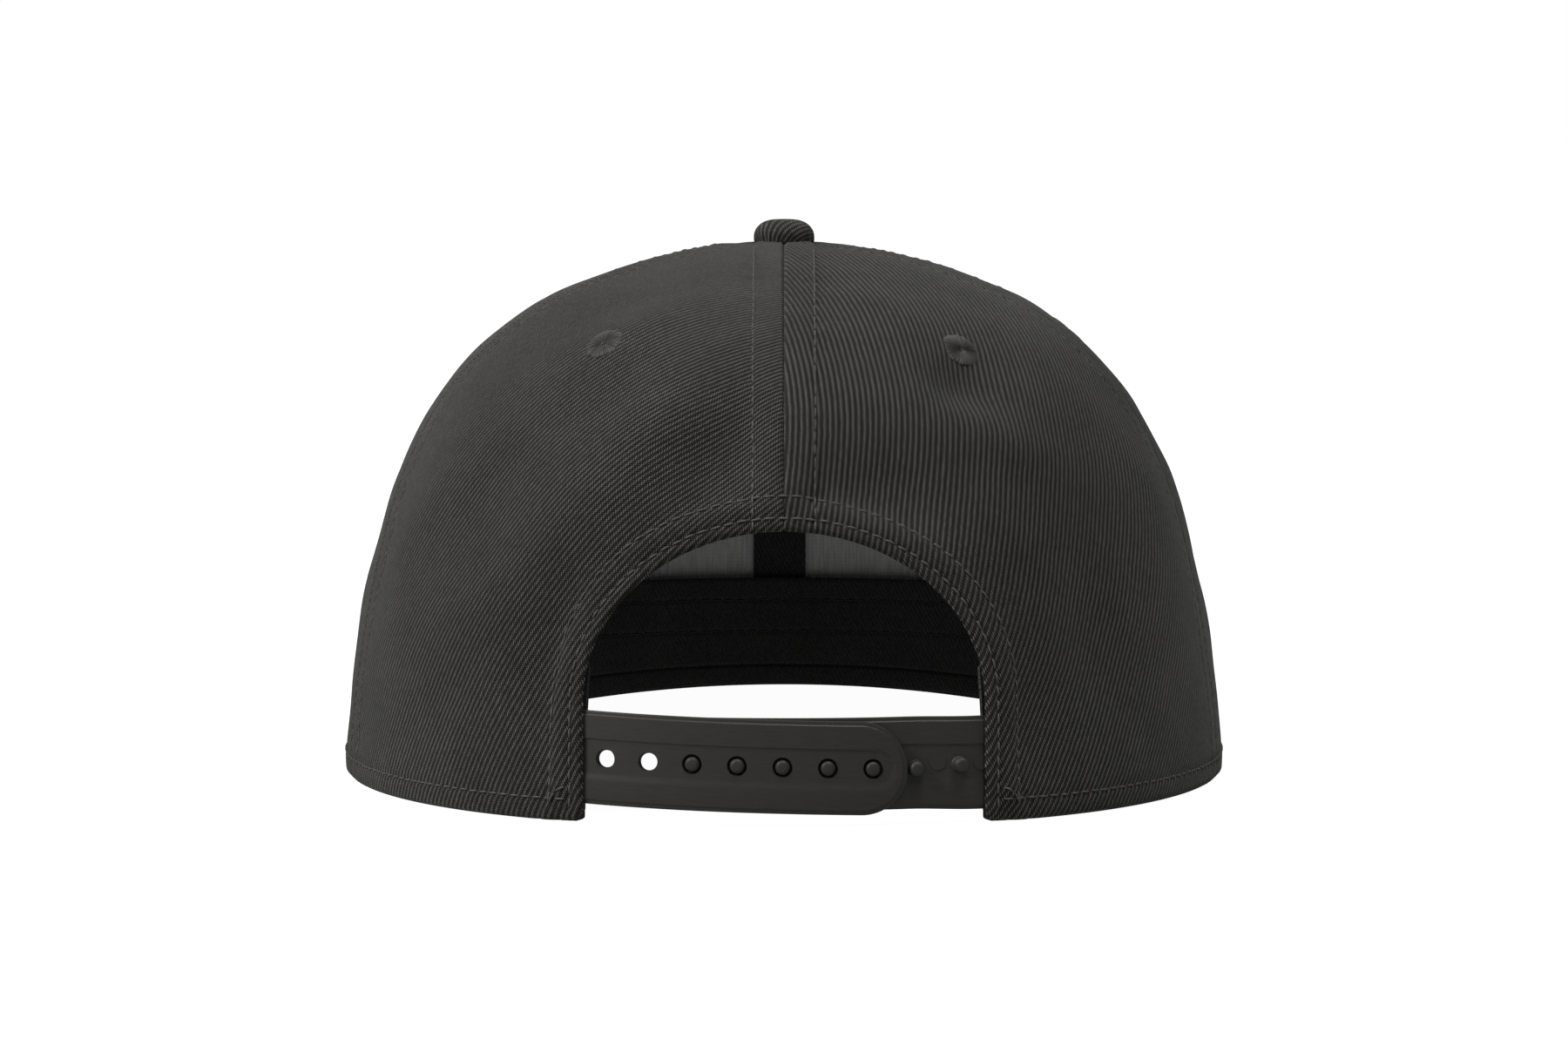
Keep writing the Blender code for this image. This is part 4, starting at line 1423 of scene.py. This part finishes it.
for side, sign in (("left", -1), ("right", 1)):
    make_buckram(side, sign)
    make_tape(f"side_{side}", sign * SIDE_SEAM, CLOTH_WALL + LAYER_GAP)
    make_tape(f"temple_{side}", sign * TEMPLE_SEAM, CLOTH_WALL + LAYER_GAP)
make_tape("rear", REAR_SEAM, CLOTH_WALL + LAYER_GAP, float(arch_climb[-1]) + 0.01)
FRONT_TAPE_INSET = CLOTH_WALL + BUCKRAM_WALL + 2 * LAYER_GAP
FRONT_TAPE_TURN = FRONT_SEAM + 0.011  # sewn on a little off the seam
FRONT_TAPE_WIDTH = 12.4 * MM
make_tape("front", FRONT_TAPE_TURN, FRONT_TAPE_INSET, width=FRONT_TAPE_WIDTH)

# %% [markdown]
# ## Sweatband
# The band's section is walked round once and then carried round the inside of the hem, from
# one corner of the arch to the other. Merging its ends closes the shell.

# %% Sweatband
SWEATBAND_TOP = 31.5 * MM
SWEATBAND_WALL = 1.0 * MM
SWEATBAND_SETBACK = 1.5 * MM
SWEATBAND_INSET = CLOTH_WALL + BUCKRAM_WALL + TAPE_WALL + 3 * LAYER_GAP
BAND_FOLD = 1.5 * MM  # inset of the fold's outer edge
BAND_ROWS = (26.3 * MM, 18.7 * MM)  # heights of the stitch rows
BAND_GROOVE = 6.1 * MM  # above the hem
BAND_SAG = 1.3 * MM  # below the hem, where the front is lifted off the table
BAND_CLOTH = 530.0 * MM  # of cloth, eased in to the band's length
BAND_CORNER = float(crown_place(ARCH_HALF_WIDTH + SWEATBAND_SETBACK, 0.0)[0])


def band_profile():
    """Inset and share of height round the band's section, from its outer top, closed."""
    outside, inside = SWEATBAND_INSET, SWEATBAND_INSET + SWEATBAND_WALL
    profile = [(outside, 0.97)]
    profile += [(outside, share_up) for share_up in np.linspace(0.9, 0.12, 8)]
    profile += [(outside, 0.045), (BAND_FOLD, 0.035), (BAND_FOLD, 0.0)]
    profile += [(inset * MM, 0.0) for inset in (2.0, 2.6, 3.2, 3.8, 4.2)]
    profile += [(inside - 0.15 * MM, 0.006), (inside, 0.02)]
    profile += [(inside, share_up) for share_up in np.linspace(0.035, 0.965, 110)]
    profile += [(inside - 0.15 * MM, 0.99), (inside - 0.5 * MM, 1.0), (outside + 0.2 * MM, 0.99)]
    profile += [profile[0]]
    return np.array(profile)


def make_sweatband():
    profile = band_profile()
    piece, across, up = add_grid("sweatband_strip", 300, len(profile) - 1)
    turn = wrap_turn(BAND_CORNER + (2 * math.pi - 2 * BAND_CORNER) * across)
    hem = hem_height(turn) * (1 - BAND_SAG / FRONT_LIFT)
    where = up * (len(profile) - 1)
    inset = np.interp(where, np.arange(len(profile)), profile[:, 0])
    part = np.interp(where, np.arange(len(profile)), profile[:, 1])
    height = hem + part * (SWEATBAND_TOP - hem)
    inner = (where > 22) & (where < len(profile) - 4)
    dip = sum(0.22 * MM * bell(height - row, 0.55 * MM) for row in BAND_ROWS)
    groove = 0.55 * MM * bell(height - hem - BAND_GROOVE, 0.35 * MM)
    swell = 0.25 * MM * np.sin(np.clip((height - hem) / BAND_GROOVE, 0, 1) * math.pi)
    inset = inset - np.where(inner, dip + groove - swell, 0.0)
    write_points(piece, on_crown(turn, climb_at_height(turn, height), -inset))
    write_flat(piece, np.stack([BAND_CLOTH * across, height], axis=1))
    close_up(piece)
    shade_round(piece, 50)
    fit_piece(piece, sweatband_cloth, "lining", "sweatband")


make_sweatband()

# %% [markdown]
# ## Stitches inside
# The sweatband's two rows and the rows on the front tape are the same bead in black thread.

# %% Stitches inside
rows = []
corner = BAND_CORNER + 0.02
turn = wrap_turn(np.linspace(corner, 2 * math.pi - corner, 700))
for height in BAND_ROWS:
    for part in (turn[:350], turn[350:]):
        climb = climb_at_height(part, height)
        line = inside_crown(part, climb, SWEATBAND_INSET + SWEATBAND_WALL - 0.2 * MM)
        rows.append(stitch_line(line, -crown_normal(part, climb), 23, radius=0.17 * MM))
for side in (-1, 1):
    climb = np.linspace(0.25, TAPE_TOP - 0.01, 200)
    shift = (FRONT_TAPE_WIDTH / 2 - 1.2 * MM) / from_axis(crown_point(math.pi, climb))
    part = FRONT_TAPE_TURN + side * shift
    line = inside_crown(part, climb, FRONT_TAPE_INSET + TAPE_SHEET)
    rows.append(stitch_line(line, -crown_normal(part, climb), 29, radius=0.15 * MM))
make_stitches("stitches_lining", rows, lining_thread, "lining")

# %% [markdown]
# ## Peak
# The photograph doesn't show the peak, which lies behind the crown. It is a stiff board in a
# twill cover, nearly flat, with rows of stitches that follow its rim. Its section is walked
# round once, from the crown along the top, over the round rim and back below, so that top,
# rim and underside are one closed shell.

# %% Peak
PEAK_REACH = 68.0 * MM
PEAK_WALL = 3.0 * MM
PEAK_TURN = math.radians(62)
PEAK_FLARE = 4.0 * MM
PEAK_SQUARENESS = 2.5
PEAK_ROW_SPACING = 7.5 * MM
PEAK_ROW_COUNT = 8
PEAK_FIRST_ROW = 4.0 * MM  # from the rim
PEAK_STITCH_DEPTH = 0.12 * MM
peak_corner = crown_point(math.pi - PEAK_TURN, 0.0) + np.array([PEAK_FLARE, 0, 0])


def peak_point(across, reach, rise):
    """Points of the peak: across from -1 to 1, and reach from the crown to the rim."""
    turn = math.pi - across * PEAK_TURN
    root = on_crown(turn, np.zeros(len(turn)), np.full(len(turn), 0.2 * MM))
    angle = math.pi / 2 * (1 - np.abs(across))
    x = np.sign(across) * peak_corner[0] * np.cos(angle) ** (2 / PEAK_SQUARENESS)
    front = AXIS_Y + FRONT_DEPTH + PEAK_REACH - peak_corner[1]
    y = peak_corner[1] + front * np.sin(angle) ** (2 / PEAK_SQUARENESS)
    z = FRONT_LIFT * np.cos(math.pi / 2 * x / peak_corner[0]) ** 2
    rim = np.stack([x, y, z], axis=1)
    point = root + (rim - root) * reach[:, None]
    point[:, 2] += rise
    return point


def peak_spokes(across):
    """Vectors from the crown to the rim."""
    ones = np.ones(len(across))
    return peak_point(across, ones, 0.0) - peak_point(across, 0 * ones, 0.0)


def make_peak():
    """Walks the section: top, rim, underside, and up the crown again."""
    top = np.linspace(0.0, 0.96, 90)
    curl = np.linspace(0.0, math.pi, 14)[1:-1]
    reach = np.concatenate([top, 0.975 + 0.025 * np.sin(curl), top[::-1], [0.0]])
    half = PEAK_WALL / 2
    rise = np.concatenate([
        np.full(len(top), PEAK_WALL), half + half * np.cos(curl), np.zeros(len(top)),
        [PEAK_WALL],
    ])
    piece, across, up = add_grid("peak_cover", 150, len(reach) - 1)
    where = np.arange(len(reach))
    across = 2 * across - 1
    reach_at = np.interp(up * where[-1], where, reach)
    rise_at = np.interp(up * where[-1], where, rise)
    spokes = peak_spokes(across)
    to_rim = (1 - reach_at) * np.linalg.norm(spokes, axis=1)
    for k in range(PEAK_ROW_COUNT):
        dip = 0.16 * MM * bell(to_rim - PEAK_FIRST_ROW - k * PEAK_ROW_SPACING, 0.6 * MM)
        rise_at += np.where(rise_at > half, -dip, dip) * (to_rim > 2 * MM)
    points = peak_point(across, reach_at, rise_at)
    write_points(piece, points)
    # Round the rim the cloth goes on outwards, so its weave isn't drawn out there.
    outward = spokes[:, :2] / np.linalg.norm(spokes[:, :2], axis=1, keepdims=True)
    write_flat(piece, points[:, :2] + outward * (PEAK_WALL - rise_at)[:, None])
    close_up(piece)
    shade_round(piece, 50)
    fit_piece(piece, charcoal_twill, "twill", "peak")


make_peak()

# %% [markdown]
# ## Stitches on the peak
# The rows follow the rim, above and below, each in a dip of the cover. A row stops where it
# would run into the crown.

# %% Stitches on the peak
rows = []
across = np.linspace(-0.985, 0.985, 600)
length = np.linalg.norm(peak_spokes(across), axis=1)
for k in range(PEAK_ROW_COUNT):
    reach = 1 - (PEAK_FIRST_ROW + k * PEAK_ROW_SPACING) / length
    keep = reach > 0.03
    for rise, up in ((PEAK_WALL - PEAK_STITCH_DEPTH, 1.0), (PEAK_STITCH_DEPTH, -1.0)):
        line = peak_point(across[keep], reach[keep], rise)
        normals = np.tile([0.0, 0.0, up], (len(line), 1))
        rows.append(stitch_line(line, normals, 31 + k))
make_stitches("stitches_peak", rows, sewing_thread, "thread")

# %% [markdown]
# ## Floor
# The photograph has a white ground with hardly any shadow. The floor is a pale sheet that
# glows a little, as a light table does, so that it stays bright under the cap too.

# %% Floor
FLOOR_GLOW = 0.2


def glow_to_camera(tree, unseen, seen):
    """A strength that the camera sees as white, while it lights the cap far less."""
    by_camera = add_node(tree, "LightPath").outputs["Is Camera Ray"]
    glow = add_node(tree, "MapRange", {"Value": by_camera, "To Min": unseen, "To Max": seen})
    return glow.outputs[0]


def make_floor():
    bpy.ops.object.select_all(action="DESELECT")
    bpy.ops.mesh.primitive_plane_add(size=12.0, location=(0.0, 0.0, -0.0002))
    floor = bpy.context.active_object
    floor.name = "floor"
    material, tree, shader = start_material(
        "pale_sheet", Roughness=0.9, Base_Color=(0.2, 0.2, 0.2, 1.0),
        Emission_Color=(1.0, 1.0, 1.0, 1.0),
    )
    tree.links.new(glow_to_camera(tree, FLOOR_GLOW, 0.97), shader.inputs["Emission Strength"])
    floor.data.materials.append(material)


make_floor()

# %% [markdown]
# ## Lights
# A soft light hangs high on the left and a weaker one above, a little to the right. The
# surround is white to the camera and much dimmer to the cap, so that the cloth keeps its
# depth.

# %% Lights
SURROUND_GLOW = 0.21
world = bpy.data.worlds.new("white_surround")
world.use_nodes = True
surround = world.node_tree.nodes["Background"]
surround.inputs["Color"].default_value = (1.0, 1.0, 1.0, 1.0)
glow = glow_to_camera(world.node_tree, SURROUND_GLOW, 1.0)
world.node_tree.links.new(glow, surround.inputs["Strength"])
bpy.context.scene.world = world


def add_softbox(name, place, target, size, power):
    light = bpy.data.lights.new(name, "AREA")
    light.shape = "SQUARE"
    light.size = size
    light.energy = power
    lamp = bpy.data.objects.new(name, light)
    lamp.location = place
    aim = Vector(target) - Vector(place)
    lamp.rotation_euler = aim.to_track_quat("-Z", "Y").to_euler()
    bpy.context.scene.collection.objects.link(lamp)


cap_middle = (0.0, AXIS_Y, 0.06)
add_softbox("key_left", (-1.25, AXIS_Y - 0.6, 1.1), cap_middle, 0.5, 21.0)
add_softbox("top_light", (0.25, AXIS_Y - 0.3, 1.5), cap_middle, 0.6, 13.0)
scene_view = bpy.context.scene.view_settings
scene_view.view_transform = "Standard"
scene_view.look = "None"
